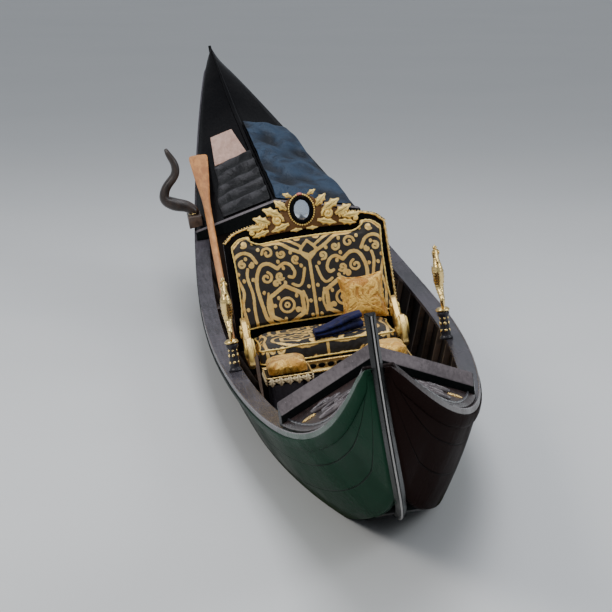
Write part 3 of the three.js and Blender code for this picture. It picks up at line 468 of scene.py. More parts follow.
def to_frame(points):
    """Points (s, y, z) of the boat's own frame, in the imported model's frame."""
    array = np.array(points, float).reshape(-1, 3)
    array[:, 0] = MIDSHIP - array[:, 0]
    return array @ np.array(HEEL_TURN.to_3x3()).T


def boat_points(array):
    """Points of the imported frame, turned back to (s, y, z)."""
    back = array @ np.array(HEEL_TURN.to_3x3())
    back[:, 0] = MIDSHIP - back[:, 0]
    return back


def add_values(mesh, name, values):
    mesh.attributes.new(name, "FLOAT", "POINT").data.foreach_set("value", np.array(values, np.float32))


def added(name, data):
    """A new object in the scene."""
    thing = bpy.data.objects.new(name, data)
    bpy.context.scene.collection.objects.link(thing)
    return thing


def paint(piece, materials):
    """Fills a piece's material slots. Each face keeps the number of its own slot."""
    mesh = piece.data
    numbers = [face.material_index for face in mesh.polygons]
    mesh.materials.clear()
    for material in materials if isinstance(materials, (list, tuple)) else [materials]:
        mesh.materials.append(material)
    mesh.polygons.foreach_set("material_index", numbers)


def settle(piece, materials, replaces=(), body="hull"):
    """Gives a finished piece its materials, its body and what it stands for."""
    paint(piece, materials)
    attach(piece, body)
    if replaces:
        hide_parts(*([replaces] if isinstance(replaces, str) else replaces))
    return piece


def object_of(name, shape):
    mesh = bpy.data.meshes.new(name)
    mesh.from_pydata(to_frame(shape.points).tolist(), [], shape.faces)
    flat = [value for face in shape.uvs for corner in face for value in corner]
    mesh.uv_layers.new(name="UVMap").data.foreach_set("uv", np.array(flat, np.float32))
    mesh.polygons.foreach_set("material_index", shape.finishes)
    for key, table in shape.values.items():
        add_values(mesh, key, [table.get(i, 0.0) for i in range(len(mesh.vertices))])
    work = bmesh.new()
    work.from_mesh(mesh)
    bmesh.ops.recalc_face_normals(work, faces=work.faces)
    work.to_mesh(mesh)
    work.free()
    mesh.shade_smooth()
    return added(name, mesh)


def fix_modifiers(piece):
    """Turns a piece's modifiers into plain mesh."""
    bpy.context.view_layer.update()
    graph = bpy.context.evaluated_depsgraph_get()
    mesh = bpy.data.meshes.new_from_object(piece.evaluated_get(graph), depsgraph=graph)
    piece.modifiers.clear()
    old = piece.data
    piece.data = mesh
    mesh.name = piece.name
    bpy.data.meshes.remove(old)
    return piece


def modify(piece, name, kind, **settings):
    """Adds a modifier with its settings."""
    modifier = piece.modifiers.new(name, kind)
    for key, value in settings.items():
        setattr(modifier, key, value)
    return piece


def soften(piece, width, segments=2):
    """Rounds a piece's sharp edges."""
    modify(piece, "rounded_edges", "BEVEL", width=width, segments=segments, limit_method="ANGLE",
           angle_limit=math.radians(32), harden_normals=True, miter_outer="MITER_ARC")
    return fix_modifiers(piece)


def finer(piece):
    """One subdivision."""
    return fix_modifiers(modify(piece, "finer", "SUBSURF", levels=1, render_levels=1))


def thicken(piece, thickness):
    """Gives an open sheet its thickness and one subdivision."""
    return finer(modify(piece, "thickness", "SOLIDIFY", thickness=thickness, offset=0))


def even_skin(piece, size, rounds=4):
    """One even skin of small faces over a rough form."""
    modify(piece, "even_skin", "REMESH", mode="VOXEL", voxel_size=size)
    fix_modifiers(modify(piece, "rubbed", "SMOOTH", factor=0.5, iterations=rounds))
    piece.data.shade_smooth()
    return piece


def make(name, shape, materials, replaces=(), body="hull", bevel=0.0, segments=2, smooth=False):
    piece = object_of(name, shape)
    paint(piece, materials)
    if bevel:
        soften(piece, bevel, segments)
    if smooth:
        finer(piece)
    return settle(piece, materials, replaces, body)


def black(name, shape, materials, replaces=(), bevel=0.0):
    """A lacquered piece: the wider its rounded edges, the finer they are."""
    segments = 3 if bevel > 0.005 else 2
    return make(name, shape, materials, replaces, bevel=bevel, segments=segments)


def dressed(node, materials, body="hull", bevel=0.002, choose=lambda centre: 0):
    """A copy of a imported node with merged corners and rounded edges, shown in its place."""
    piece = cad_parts[node].copy()
    piece.data = piece.data.copy()
    piece.parent = None
    for key in list(piece.keys()):
        del piece[key]
    piece.name = node + "_finished"
    bpy.context.scene.collection.objects.link(piece)
    paint(piece, materials)
    work = bmesh.new()
    work.from_mesh(piece.data)
    bmesh.ops.remove_doubles(work, verts=work.verts, dist=1e-5)
    bmesh.ops.dissolve_limit(work, angle_limit=math.radians(0.5), verts=work.verts, edges=work.edges)
    bmesh.ops.recalc_face_normals(work, faces=work.faces)
    for face in work.faces:
        face.smooth = True
        face.material_index = choose(face.calc_center_median())
    work.to_mesh(piece.data)
    work.free()
    return settle(soften(piece, bevel), materials, node, body)


def spline(knots, per=10, closed=False):
    """A smooth line through points, with per steps between two."""
    points = [Vector(knot) for knot in knots]
    count = len(points)
    line = []
    for i in range(count if closed else count - 1):
        p0, p1, p2, p3 = (points[(i + k) % count] if closed else points[min(max(i + k, 0), count - 1)]
                          for k in (-1, 0, 1, 2))
        for step in range(per):
            t = step / per
            line.append(0.5 * (2 * p1 + (p2 - p0) * t + (2 * p0 - 5 * p1 + 4 * p2 - p3) * t * t
                               + (3 * p1 - p0 - 3 * p2 + p3) * t ** 3))
    return line if closed else [*line, points[-1]]


def flat_spline(knots, per, closed=False):
    """A smooth line through plane points (u, v)."""
    return [(v.x, v.y) for v in spline([(*knot, 0) for knot in knots], per, closed)]


# Repeats and cords made by Geometry Nodes

class Grove:
    """A Geometry Nodes tree that works on a line of points. Its named inputs are numbers."""

    def __init__(self, name, **sizes):
        self.tree = bpy.data.node_groups.new(name, "GeometryNodeTree")
        face = self.tree.interface
        for way in ("INPUT", "OUTPUT"):
            face.new_socket("Geometry", in_out=way, socket_type="NodeSocketGeometry")
        self.sizes = {face.new_socket(key, in_out="INPUT", socket_type="NodeSocketFloat").identifier: value
                      for key, value in sizes.items()}
        self.entry = self.tree.nodes.new("NodeGroupInput").outputs
        self.line = self.node("MeshToCurve", {0: self.entry[0]})[0]

    def node(self, kind, inputs=None, family="GeometryNode", **settings):
        """Adds a node and returns its outputs."""
        made = self.tree.nodes.new(family + kind)
        for key, value in settings.items():
            setattr(made, key, value)
        for key, value in (inputs or {}).items():
            if hasattr(value, "is_output"):
                self.tree.links.new(value, made.inputs[key])
            else:
                made.inputs[key].default_value = value
        return made.outputs

    def math(self, operation, *values):
        return self.node("Math", dict(enumerate(values)), "ShaderNode", operation=operation)[0]

    def plant(self, name, points, closed, result, material, body="hull"):
        """Runs the tree on points (s, y, z) and settles its plain mesh."""
        whole = self.node("RealizeInstances", {0: result})[0]
        painted = self.node("SetMaterial", {"Geometry": whole, "Material": material})[0]
        self.node("Output", {0: painted}, "NodeGroup")
        count = len(points)
        edges = [(i, (i + 1) % count) for i in range(count if closed else count - 1)]
        mesh = bpy.data.meshes.new(name)
        mesh.from_pydata(to_frame(points).tolist(), edges, [])
        piece = added(name, mesh)
        grow = piece.modifiers.new(self.tree.name, "NODES")
        grow.node_group = self.tree
        for identifier, value in self.sizes.items():
            grow[identifier] = value
        fix_modifiers(piece)
        piece.data.shade_smooth()
        return settle(piece, material, body=body)


def beads(name, path, spacing, size, material=GILT, stretch=(1, 1, 1), closed=False):
    """Small turned beads, nail heads or drops at even steps along a path."""
    grove = Grove("beads_on_a_line", Spacing=spacing, Size=size)
    steps = {"Curve": grove.line, "Length": grove.entry["Spacing"]}
    spots = grove.node("CurveToPoints", steps, mode="LENGTH")
    ball = grove.node("MeshUVSphere", {"Segments": 8, "Rings": 5, "Radius": 1.0})[0]
    shaped = grove.node("Transform", {"Geometry": ball, "Scale": stretch})[0]
    sown = grove.node("InstanceOnPoints", {"Points": spots["Points"], "Instance": shaped,
                                           "Rotation": spots["Rotation"], "Scale": grove.entry["Size"]})[0]
    return grove.plant(name, path, closed, sown, material)


def cord_trim(name, path, radius, material=GILT, closed=True, body="hull", turns=220.0,
              swell=0.16):
    """A twisted round cord or a plain bead laid along a path."""
    grove = Grove("cord_on_a_line", Radius=radius, Swell=swell, Turns=turns)
    steps = {"Curve": grove.line, "Length": max(0.004, 1.4 / turns)}
    even = grove.node("ResampleCurve", steps, mode="LENGTH")[0]
    run = grove.node("SplineParameter")["Length"]
    wave = grove.math("SINE", grove.math("MULTIPLY", run, grove.entry["Turns"]))
    wave = grove.math("MULTIPLY_ADD", wave, grove.entry["Swell"], 1.0)
    thick = grove.math("MULTIPLY", wave, grove.entry["Radius"])
    circle = grove.node("CurvePrimitiveCircle", {"Resolution": 7, "Radius": 1.0})[0]
    skin = grove.node("CurveToMesh", {"Curve": even, "Profile Curve": circle, "Fill Caps": True,
                                      "Scale": thick})[0]
    return grove.plant(name, path, closed, skin, material, body)


# Cloth and padding

def vectors(vertices, key):
    flat = np.empty(3 * len(vertices), np.float32)
    vertices.foreach_get(key, flat)
    return flat.reshape(-1, 3).astype(float)


def coordinates(piece):
    return vectors(piece.data.vertices, "co")


def set_coordinates(piece, array):
    piece.data.vertices.foreach_set("co", array.astype(np.float32).ravel())
    piece.data.update()


SWELL_FRAMES = 20


def swell(piece, cap, pressure=4.0):
    """Blows a soft piece up under cloth pressure; no point moves further than cap."""
    rest = coordinates(piece)
    skin = piece.modifiers.new("filling", "CLOTH")
    skin.settings.use_pressure = True
    skin.settings.uniform_pressure_force = pressure
    skin.settings.effector_weights.gravity = 0
    skin.settings.quality = 5
    skin.point_cache.frame_end = SWELL_FRAMES + 1
    for step in range(1, SWELL_FRAMES + 1):
        bpy.context.scene.frame_set(step)
    graph = bpy.context.evaluated_depsgraph_get()
    move = vectors(piece.evaluated_get(graph).to_mesh().vertices, "co") - rest
    piece.evaluated_get(graph).to_mesh_clear()
    piece.modifiers.clear()
    bpy.context.scene.frame_set(1)
    reach = np.linalg.norm(move, axis=1, keepdims=True)
    set_coordinates(piece, rest + move * cap / np.maximum(reach, cap))


def press(piece, point, normal):
    """Flattens a soft piece where it rests on the plane through point; normal points to the piece."""
    array = boat_points(coordinates(piece))
    normal = np.array(normal, float) / np.linalg.norm(normal)
    deep = (array - np.array(point, float)) @ normal
    array -= np.minimum(deep, 0)[:, None] * normal
    set_coordinates(piece, to_frame(array))


def seated(piece, line, lift=0.0025):
    """A closed line of points (s, y, z) drawn in to the skin of a soft piece, and evened out."""
    faces = [list(face.vertices) for face in piece.data.polygons]
    skin = BVHTree.FromPolygons(coordinates(piece).tolist(), faces)
    spots = []
    for point in to_frame(line):
        place, normal, _, _ = skin.find_nearest(Vector(point))
        spots.append(place + normal * lift)
    for _ in range(3):
        spots = [(spots[k - 1] + 2 * spots[k] + spots[(k + 1) % len(spots)]) / 4 for k in range(len(spots))]
    return boat_points(np.array(spots)).tolist()


def closed_line(outline):
    """A closed outline of (u, v) in even steps of at most about 12 mm."""
    line = []
    for k, (u, v) in enumerate(outline):
        ahead = outline[(k + 1) % len(outline)]
        count = max(1, int(math.hypot(ahead[0] - u, ahead[1] - v) / 0.012))
        line += [(lerp(u, ahead[0], i / count), lerp(v, ahead[1], i / count)) for i in range(count)]
    return line


def tree_of(spots):
    """A search tree of plane points."""
    tree = KDTree(len(spots))
    for i, (p, q) in enumerate(spots):
        tree.insert((p, q, 0), i)
    tree.balance()
    return tree


def embroider(piece, curves, to_plane):
    """Stores how far each point is from the edge of the nearest scroll. curves: (points, half width)."""
    plane = [to_plane(point) for point in boat_points(coordinates(piece))]
    nearest = np.full(len(plane), 1.0)
    for half in sorted({half for _, half in curves}):
        tree = tree_of([spot for line, width in curves if width == half for spot in line])
        for i, (p, q) in enumerate(plane):
            nearest[i] = min(nearest[i], tree.find((p, q, 0))[2] - half)
    add_values(piece.data, "thread", nearest)


def dense(knots, closed=False):
    """A smooth plane curve through knots, in steps of about 1.5 mm."""
    rough = distances(flat_spline(knots, 6, closed))[-1]
    per = max(4, int(rough / 0.0015 / max(1, len(knots) - 1)))
    return flat_spline(knots, per, closed)


def scroll(centre, radius, start, turns, inward=0.25):
    """A plane spiral of knots, from its open end to its eye. Angles are in turns."""
    steps = max(6, int(abs(turns) * 10))
    knots = []
    for k in range(steps + 1):
        angle = 2 * math.pi * (start + turns * k / steps)
        reach = radius * lerp(1, inward, k / steps)
        knots.append((centre[0] + reach * math.cos(angle), centre[1] + reach * math.sin(angle)))
    return knots


def ring(centre, across, up, sides=24):
    return [(centre[0] + across * math.sin(a), centre[1] + up * math.cos(a)) for a in turns_of(sides)]


def hexagon(centre, across, up):
    """A pointed six-sided medallion, its sides sampled straight."""
    side = across * 0.87
    corners = [(0, up), (side, up / 2), (side, -up / 2), (0, -up), (-side, -up / 2), (-side, up / 2)]
    return [(centre[0] + lerp(a[0], b[0], k / 60), centre[1] + lerp(a[1], b[1], k / 60))
            for a, b in zip(corners, corners[1:] + corners[:1]) for k in range(60)]


FILL_PITCH, CURL_ROOM, DOT_ROOM = 0.052, 0.019, 0.011


def pattern(lines, hexagons, rings, scrolls, low, high):
    """Scrolls drawn on one half of a cloth, across (p) and up (q), and their mirror images.

    Each row ends in its half width. Small curls and dots fill the gaps between two corners.
    """
    curves = [(dense(line), half) for *line, half in lines]
    curves += [(hexagon(*row), half) for *row, half in hexagons]
    curves += [(dense(ring(*row), True), half) for *row, half in rings]
    curves += [(dense(scroll(*row)), half) for *row, half in scrolls]
    tree = tree_of([spot for line, _ in curves for spot in line])
    rows = int((high[1] - low[1]) / (FILL_PITCH * 0.8))
    for j in range(rows + 1):
        q = low[1] + j * FILL_PITCH * 0.8
        p = low[0] + (0.5 * FILL_PITCH if j % 2 else 0.0)
        while p <= high[0]:
            gap = min(tree.find((p, q, 0))[2], abs(p) + 0.01) - 0.008
            if gap > CURL_ROOM:
                turns = 1.15 if j % 2 else -1.15
                curl = scroll((p, q), min(gap * 0.72, 0.026), 0.17 * j + 2.3 * p, turns, 0.15)
                curves.append((dense(curl), 0.0048))
            elif gap > DOT_ROOM:
                curves.append((dense(ring((p, q), 0.004, 0.006, 8), True), 0.0040))
            p += FILL_PITCH
    return curves + [([(-p, q) for p, q in line], half) for line, half in curves]


def back_pattern():
    """The scrolls of the sofa's back, from its foot up."""
    medallion = (0.164, 0.235)
    return pattern(
        [((0, 0.13), (0, 0.30), (0, 0.47), 0.007),
         ((0, 0.475), (0.045, 0.53), (0, 0.585), 0.0065),
         ((0, 0.09), (0.10, 0.10), (0.20, 0.115), (0.28, 0.16), (0.305, 0.25), (0.32, 0.38), (0.29, 0.47),
          (0.24, 0.485), (0.19, 0.45), 0.0085),
         ((0.19, 0.45), (0.15, 0.475), (0.115, 0.46), (0.095, 0.42), (0.105, 0.39), (0.13, 0.395), 0.007),
         ((0.035, 0.43), (0.055, 0.36), (0.08, 0.335), (0.115, 0.35), 0.006),
         ((0.345, 0.12), (0.352, 0.22), (0.35, 0.32), (0.368, 0.42), (0.36, 0.47), 0.0065),
         ((0.305, 0.50), (0.335, 0.55), (0.385, 0.565), (0.43, 0.53), (0.437, 0.44), 0.0075),
         ((0.40, 0.14), (0.415, 0.26), (0.40, 0.34), (0.425, 0.42), 0.0065),
         ((0.0, 0.50), (0.09, 0.545), (0.17, 0.595), (0.25, 0.60), (0.32, 0.645), (0.38, 0.645),
          (0.43, 0.60), 0.008),
         ((0.045, 0.56), (0.11, 0.60), (0.16, 0.615), 0.006),
         ((0.06, 0.17), (0.045, 0.235), (0.06, 0.30), 0.0045),
         ((0.262, 0.155), (0.276, 0.235), (0.262, 0.315), 0.0045),
         ((0.12, 0.135), (0.164, 0.122), (0.21, 0.140), 0.004)],
        [(medallion, 0.106, 0.112, 0.0095)],
        [(medallion, 0.040, 0.040, 0.0055), (medallion, 0.012, 0.012, 0.004)],
        [((0.235, 0.545), 0.034, 0.0, 1.1, 0.0055), ((0.385, 0.50), 0.024, 0.25, -1.1, 0.0045),
         ((0.26, 0.405), 0.034, 0.3, 1.15, 0.0055)], (0.0, 0.115), (0.45, 0.70))


def seat_pattern():
    """The same scrolls on the seat, from its front edge aft."""
    medallions = ((0.16, 0.16), (0.16, 0.42))
    return pattern(
        [((0, 0.0), (0, 0.26), (0, 0.56), 0.006),
         ((0.0, 0.05), (0.09, 0.03), (0.2, 0.04), (0.29, 0.10), (0.29, 0.22), (0.22, 0.29), (0.29, 0.36),
          (0.29, 0.48), (0.2, 0.54), (0.0, 0.53), 0.0075),
         ((0.34, -0.02), (0.35, 0.15), (0.33, 0.29), (0.35, 0.43), (0.34, 0.60), 0.0065),
         ((0.42, -0.04), (0.405, 0.12), (0.42, 0.29), (0.405, 0.46), (0.42, 0.6), 0.005),
         ((0.02, -0.03), (0.08, -0.012), (0.13, -0.035), (0.19, -0.012), (0.25, -0.035),
          (0.31, -0.012), 0.006)],
        [(centre, 0.10, 0.09, 0.0085) for centre in medallions],
        [(centre, 0.035, 0.035, 0.005) for centre in medallions],
        [((0.385, 0.20), 0.03, 0.0, 1.1, 0.005), ((0.385, 0.38), 0.03, 0.5, 1.1, 0.005)],
        (0.0, -0.06), (0.45, 0.60))


# How sunk each point of a leaf's section is, over its face and then under it
LEAF_HOLLOWS = (0.7, 0.25, 0.0, 0.8, 0.0, 0.25, 0.7, 1.0, 1.0, 1.0)


def leaf(shape, root, tip, width, lift, lobes, place):
    """A carved leaf from root to tip on a plane, domed, with lobed edges and a sunk middle vein."""
    root, tip = np.array(root, float), np.array(tip, float)
    ahead = tip - root
    side = np.array([-ahead[1], ahead[0]]) / np.linalg.norm(ahead)
    steps, across = 4 * lobes, 6
    rows = []
    first, hollows = len(shape.points), shape.values.setdefault("cavity", {})
    for i in range(steps + 1):
        t = i / steps
        hollows.update((first + 10 * i + j, hollow) for j, hollow in enumerate(LEAF_HOLLOWS))
        swollen = math.sin(math.pi * min(0.06 + 0.94 * t, 0.985)) ** 0.7
        half = width * swollen * (1 - 0.42 * abs(math.sin(math.pi * lobes * t)))
        height = lift * math.sin(math.pi * min(0.15 + 0.8 * t, 1))
        row = []
        for j in range(across + 1):
            v = lerp(-1, 1, j / across)
            dome = height * (1 - v * v) ** 0.6 * (0.65 if j == across // 2 else 1)
            row.append(place(*(root + ahead * t + side * half * v), 0.001 + dome))
        rows.append(row + [place(*(root + ahead * t + side * half * v), -0.002) for v in (1, 0, -1)])
    return shape.grid(rows)


def volute(shape, centre, radius, start, turns, thick, lift, place):
    """A carved scroll in relief that ends in an eye."""
    knots = scroll(centre, radius, start, turns, 0.2)
    radii = [thick * lerp(0.75, 1.0, math.sin(math.pi * k / (len(knots) - 1))) for k in range(len(knots))]
    shape.tube([place(p, q, lift * 0.5) for p, q in knots], radii)
    eye = place(*knots[-1], lift * 0.5)
    axis = Vector(place(*knots[-1], lift * 0.5 + 1.0)) - Vector(eye)
    dome = [(TINY, 0), (thick * 1.4, 0), (thick * 1.5, thick * 0.5), (thick * 0.9, thick * 1.2),
            (TINY, thick * 1.4)]
    return shape.lathe(dome, eye, 12, axis)


def carve(shape, place, leaves=(), volutes=()):
    """Leaves and volutes in relief on the surface that place gives."""
    for row in leaves:
        leaf(shape, *row, place)
    for row in volutes:
        volute(shape, *row, place)
    return shape


# The hull's form: half-breadths and heights along the boat

def sheer_height(s):
    if s < LOWEST:
        return SHEER_MID + (SHEER_BOW - SHEER_MID) * ((LOWEST - s) / LOWEST) ** SHEER_BOW_POWER
    return SHEER_MID + (SHEER_STERN - SHEER_MID) * ((s - LOWEST) / (LENGTH - LOWEST)) ** SHEER_STERN_POWER


def falling(share, powers):
    """1 at share 0 and 0 at share 1, with the curve that two powers give."""
    return (1 - share ** powers[0]) ** powers[1]


def bottom_height(s):
    if s < LOWEST:
        return -DRAFT + (BOW_HEAD + DRAFT) * falling(s / LOWEST, BOW_RISE_POWERS)
    return -DRAFT + (SHEER_STERN + DRAFT) * falling((LENGTH - s) / (LENGTH - LOWEST), STERN_RISE_POWERS)


def centre_line(s):
    """The middle of the hull's breadth, which bends to port between its ends."""
    power = SHIFT_POWER[0] if s < MIDSHIP else SHIFT_POWER[1]
    return END_SHIFT + (SIDE_SHIFT - END_SHIFT) * (1 - abs((s - MIDSHIP) / MIDSHIP) ** power)


class Hull:
    """One cross-section of the hull: y of its middle (yc), heights of its bottom and sheer (zb, zs)
    and half-breadths there (hb, hs)."""

    def __init__(self, s):
        self.s = s
        reach = WIDEST if s < WIDEST else LENGTH - WIDEST
        across = min(abs(s - WIDEST) / reach, 1)
        below = min(abs(s - LOWEST) / BOTTOM_REACH, 1)
        self.yc = centre_line(s)
        self.zb = bottom_height(s)
        self.zs = sheer_height(s)
        self.hs = (HALF_BEAM - END_HALF) * falling(across, BEAM_POWERS) + END_HALF
        self.hb = max(BOTTOM_HALF * falling(below, BOTTOM_POWERS), END_HALF - 0.002)
        self.bulge = BULGE * min(1, self.hb / 0.2)
        self.rail_top = self.zs + SEAT_GAP + RAIL_THICK
        self.fade = min(max((min(s, LENGTH - s) - END_CLEAR) / 0.12, 0), 1)
        self.rail_width = min(RAIL_WIDTH, 0.55 * self.hs)
        self.moulding_foot = self.zs - min(MOULDING_DEPTH, 0.4 * (self.zs - self.zb))
        self.floor_top = self.zb + BOTTOM_THICK + FRAME_HEIGHT + 2 * SEAT_GAP + FLOOR_THICK

    def outer(self, z):
        """Half-breadth of the planks' outer face at a height."""
        t = (z - self.zb) / (self.zs - self.zb)
        return self.hb + (self.hs - self.hb) * t + 4 * self.bulge * t * (1 - t)

    def inner(self, z):
        return self.outer(z) - PLANK

    def point(self, y, z):
        return self.s, self.yc + y, z


def stations(start, stop, step=0.07):
    """Cross-sections from start to stop, closer together towards the boat's ends."""
    found = [start]
    while found[-1] < stop - 0.01:
        end = min(found[-1], LENGTH - found[-1])
        found.append(min(found[-1] + max(0.02, step * min(1, 0.3 + end / 1.5)), stop))
    return [Hull(s) for s in found]


def along(shape, start, stop, section, finish=0, girth=None, step=0.07):
    """A length of the boat whose section follows the hull."""
    rows = [[hull.point(y, z) for y, z in section(hull)] for hull in stations(start, stop, step)]
    return shape.grid(rows, finish=finish, girth=girth)


def deck_levels(deck, hull):
    run = (hull.s - deck["start"]) / (deck["flat"] - deck["start"])
    climb = run if deck["peak_aft"] else 1 - run
    rise = deck["rise"] * math.sin(math.pi / 2 * min(max(climb, 0), 1) ** 0.85)
    sweep = deck.get("sweep")
    if sweep and hull.s > sweep["start"]:
        share = (hull.s - sweep["start"]) / (deck["stop"] - sweep["start"])
        rise += sweep["rise"] * share ** sweep["power"]
    edge = hull.rail_top + SEAT_GAP + deck["thick"]
    return hull.hs - DECK_INSET, edge, edge + rise


def deck_height(deck, hull, y):
    half, edge, peak = deck_levels(deck, hull)
    return peak + (edge - peak) * min(abs(y) / half, 1)


def half_and_height(deck, hull, share):
    """A point (y, z) on a deck at a share of its half-breadth, to port or starboard."""
    y = deck_levels(deck, hull)[0] * share
    return y, deck_height(deck, hull, y)


# Hull, rails and decks

def make_planking():
    steps = 10
    shares = [k / steps for k in range(steps + 1)]
    finishes = [0] * (steps + 1) + [1] * steps + [0]
    for word, sign in SIDES.items():
        def section(hull):
            heights = [lerp(hull.zb, hull.zs, share) for share in shares]
            inside = [(sign * max(hull.inner(z), SEAT_GAP), z) for z in reversed(heights)]
            return [(sign * hull.outer(z), z) for z in heights] + inside
        shape = along(Shape(), END_CLEAR, LENGTH - END_CLEAR, section, finishes, shares + shares[::-1])
        nodes = [f"side_planks_{word}_fore", f"side_planks_{word}_aft"]
        black(f"planking_{word}", shape, [HULL_LACQUER_AND_REFLECTION[word], WELL_PAINT], nodes)


def make_rails():
    ends = (END_CLEAR, LENGTH - END_CLEAR)
    for word, sign in SIDES.items():
        def rail(hull):
            base = hull.zs + SEAT_GAP
            edge = hull.hs + RAIL_LIP * hull.fade
            inside = edge - hull.rail_width
            top = lerp(base + 0.003, hull.rail_top, hull.fade)
            return [(sign * y, z) for y, z in ((edge, base), (edge, top), (inside, top), (inside, base))]

        def moulding(hull):
            foot = hull.moulding_foot
            lean = hull.outer(foot)
            profile = [(hull.hs + SEAT_GAP, hull.zs)]
            for k in range(9):
                turn = math.pi * k / 8
                rise = 0.5 + 0.5 * math.cos(turn)
                bulge = MOULDING_PROUD * (0.35 + 0.65 * math.sin(turn)) * lerp(0.1, 1, hull.fade)
                profile.append((lerp(lean, hull.hs, rise) + SEAT_GAP + bulge, lerp(foot, hull.zs, rise)))
            profile.append((lean + SEAT_GAP, foot))
            return [(sign * y, z) for y, z in profile]
        nodes = [f"rail_{word}_fore", f"rail_{word}_aft"]
        black(f"gunwale_{word}", along(Shape(), *ends, rail), RAIL_LACQUER_AND_SKY_REFLECTION[word], nodes, bevel=0.007)
        black(f"rubbing_strake_{word}", along(Shape(), *ends, moulding), HULL_LACQUER_AND_REFLECTION[word],
              f"sheer_moulding_{word}")
        # a thin light rod along the rail's outer edge: a painted highlight
        edge = [hull.point(sign * (hull.hs + RAIL_LIP - 0.0035), hull.rail_top - 0.0005)
                for hull in stations(0.9, 6.2, 0.09)]
        black(f"rail_edge_highlight_{word}", Shape().tube(edge, 0.0038), HIGHLIGHT_LACQUER)


def make_bottom():
    """Boards that reach a little way into the side planks, so that no light shows between them."""
    def section(hull):
        half = hull.hb - PLANK + 0.003
        low, top = hull.zb + 0.001, hull.zb + BOTTOM_THICK
        return [(half, low), (half, top), (-half, top), (-half, low)]
    shape = along(Shape(), BOTTOM_START, BOTTOM_STOP, section, [1, 0, 1, 1])
    nodes = ["bottom_planks_fore", "bottom_planks_aft"]
    make("bottom_boards", shape, [WALNUT_X, LACQUER], nodes)


# Heads of the two posts: distance from the tip, and rise above the planks' profile
POSTS = {
    "stem": {"tip": 0.0, "head": [(0, 0), (0.014, 0), (0.034, 0)], "depth": 0.066, "slim": 0.9},
    "stern": {"tip": LENGTH, "head": [(0, 0.118), (0.03, 0.054)], "depth": 0.062, "slim": 0.42},
}
POST_REACH, SLIM_REACH = 2.3, 0.45


def post_rows(post, back, front, half_back, half_front):
    """Sections of a post from its head down; back and front are shares of its depth, and offsets."""
    runs = [*post["head"]]
    while runs[-1][0] < POST_REACH:
        runs.append((max(runs[-1][0], 0.04) * 1.12 + 0.005, 0))
    line = []
    for run, rise in runs:
        s = abs(post["tip"] - run)
        line.append((s, bottom_height(s) + rise, centre_line(s), run))
    turn = 1 if post["tip"] == 0 else -1
    corners = ((half_back, back), (half_front, front), (-half_front, front), (-half_back, back))
    rows = []
    for i, (s, z, yc, run) in enumerate(line):
        before, after = line[max(i - 1, 0)], line[min(i + 1, len(line) - 1)]
        length = math.hypot(after[0] - before[0], after[1] - before[1])
        normal = (turn * (after[1] - before[1]) / length, -turn * (after[0] - before[0]) / length)
        depth = lerp(post["depth"], 0.01, min(run / POST_REACH, 1) ** 0.6)
        slim = lerp(post["slim"], 1, min(run / SLIM_REACH, 1))
        row = []
        for across, (share, offset) in corners:
            push = depth * share + offset
            row.append((s + normal[0] * push, yc + across * slim, z + normal[1] * push))
        rows.append(row)
    return rows


def make_posts():
    for word, post in POSTS.items():
        shape = Shape().grid(post_rows(post, (0, 0.0006), (1, 0), 0.026, 0.009))
        black(f"{word}_head", shape, LACQUER, f"{word}_post", bevel=0.005)
        shape = Shape().grid(post_rows(post, (1, 0.0004), (1, 0.006), 0.0040, 0.0028))
        make(f"{word}_band", shape, STEEL, f"{word}_strip", bevel=0.001)


def make_deck(word, deck, finish):
    steps = 8
    shares = [1 - k / steps for k in range(steps + 1)]
    for side, sign in SIDES.items():
        def section(hull):
            half = deck_levels(deck, hull)[0]
            places = [max(half * share, SEAT_GAP) for share in shares]
            top = [(sign * y, deck_height(deck, hull, y)) for y in places]
            return top + [(y, z - deck["thick"]) for y, z in reversed(top)]
        shape = along(Shape(), deck["start"], deck["stop"], section, 0, shares + shares[::-1])
        black(f"{word}_panel_{side}", shape, finish, f"{word}_{side}")

    def ridge(hull):
        side, edge, peak = deck_levels(deck, hull)
        half = min(RIDGE_HALF, 0.5 * side, RIDGE_FALL * side / max(peak - edge, 0.001))
        angles = [math.pi * k / 8 for k in range(9)]
        spots = [(half * math.cos(a), 0.0025 + 0.009 * math.sin(a)) for a in angles]
        spots += [(share * half, 0.0015) for share in (-0.5, 0, 0.5)]
        return [(y, deck_height(deck, hull, y) + rise) for y, rise in spots]
    crown = along(Shape(), deck["start"], deck["stop"], ridge)
    black(f"{word}_crown", crown, DECK_LACQUER, f"{word}_ridge")


def make_stern_end():
    """A board that closes the hollow under the stern deck's raised end."""
    rows = []
    for clear in (0.014, 0.0005):
        hull = Hull(AFTDECK["stop"] - clear)
        half, edge, peak = deck_levels(AFTDECK, hull)
        half, drop = half - 0.002, AFTDECK["thick"] + 0.001
        corners = ((half, edge), (0, peak), (-half, edge))
        rows.append([hull.point(y, z - drop) for y, z in corners])
    black("stern_end_board", Shape().grid(rows), LACQUER)


def coaming_outline(s, deck, climb):
    """The gabled outline of a board across a deck's open end, with its cross-section of the hull."""
    hull = Hull(s)
    base = hull.rail_top + SEAT_GAP
    half = hull.hs - DECK_INSET
    top = base + deck["thick"] + COAMING["proud"] + climb
    peak = top + deck["rise"] + COAMING["crown"]
    low = base + deck["rise"] - COAMING["depth"]
    foot = base + SEAT_GAP
    return hull, [(half, foot), (half, top), (0, peak), (-half, top), (-half, foot), (0, low)]


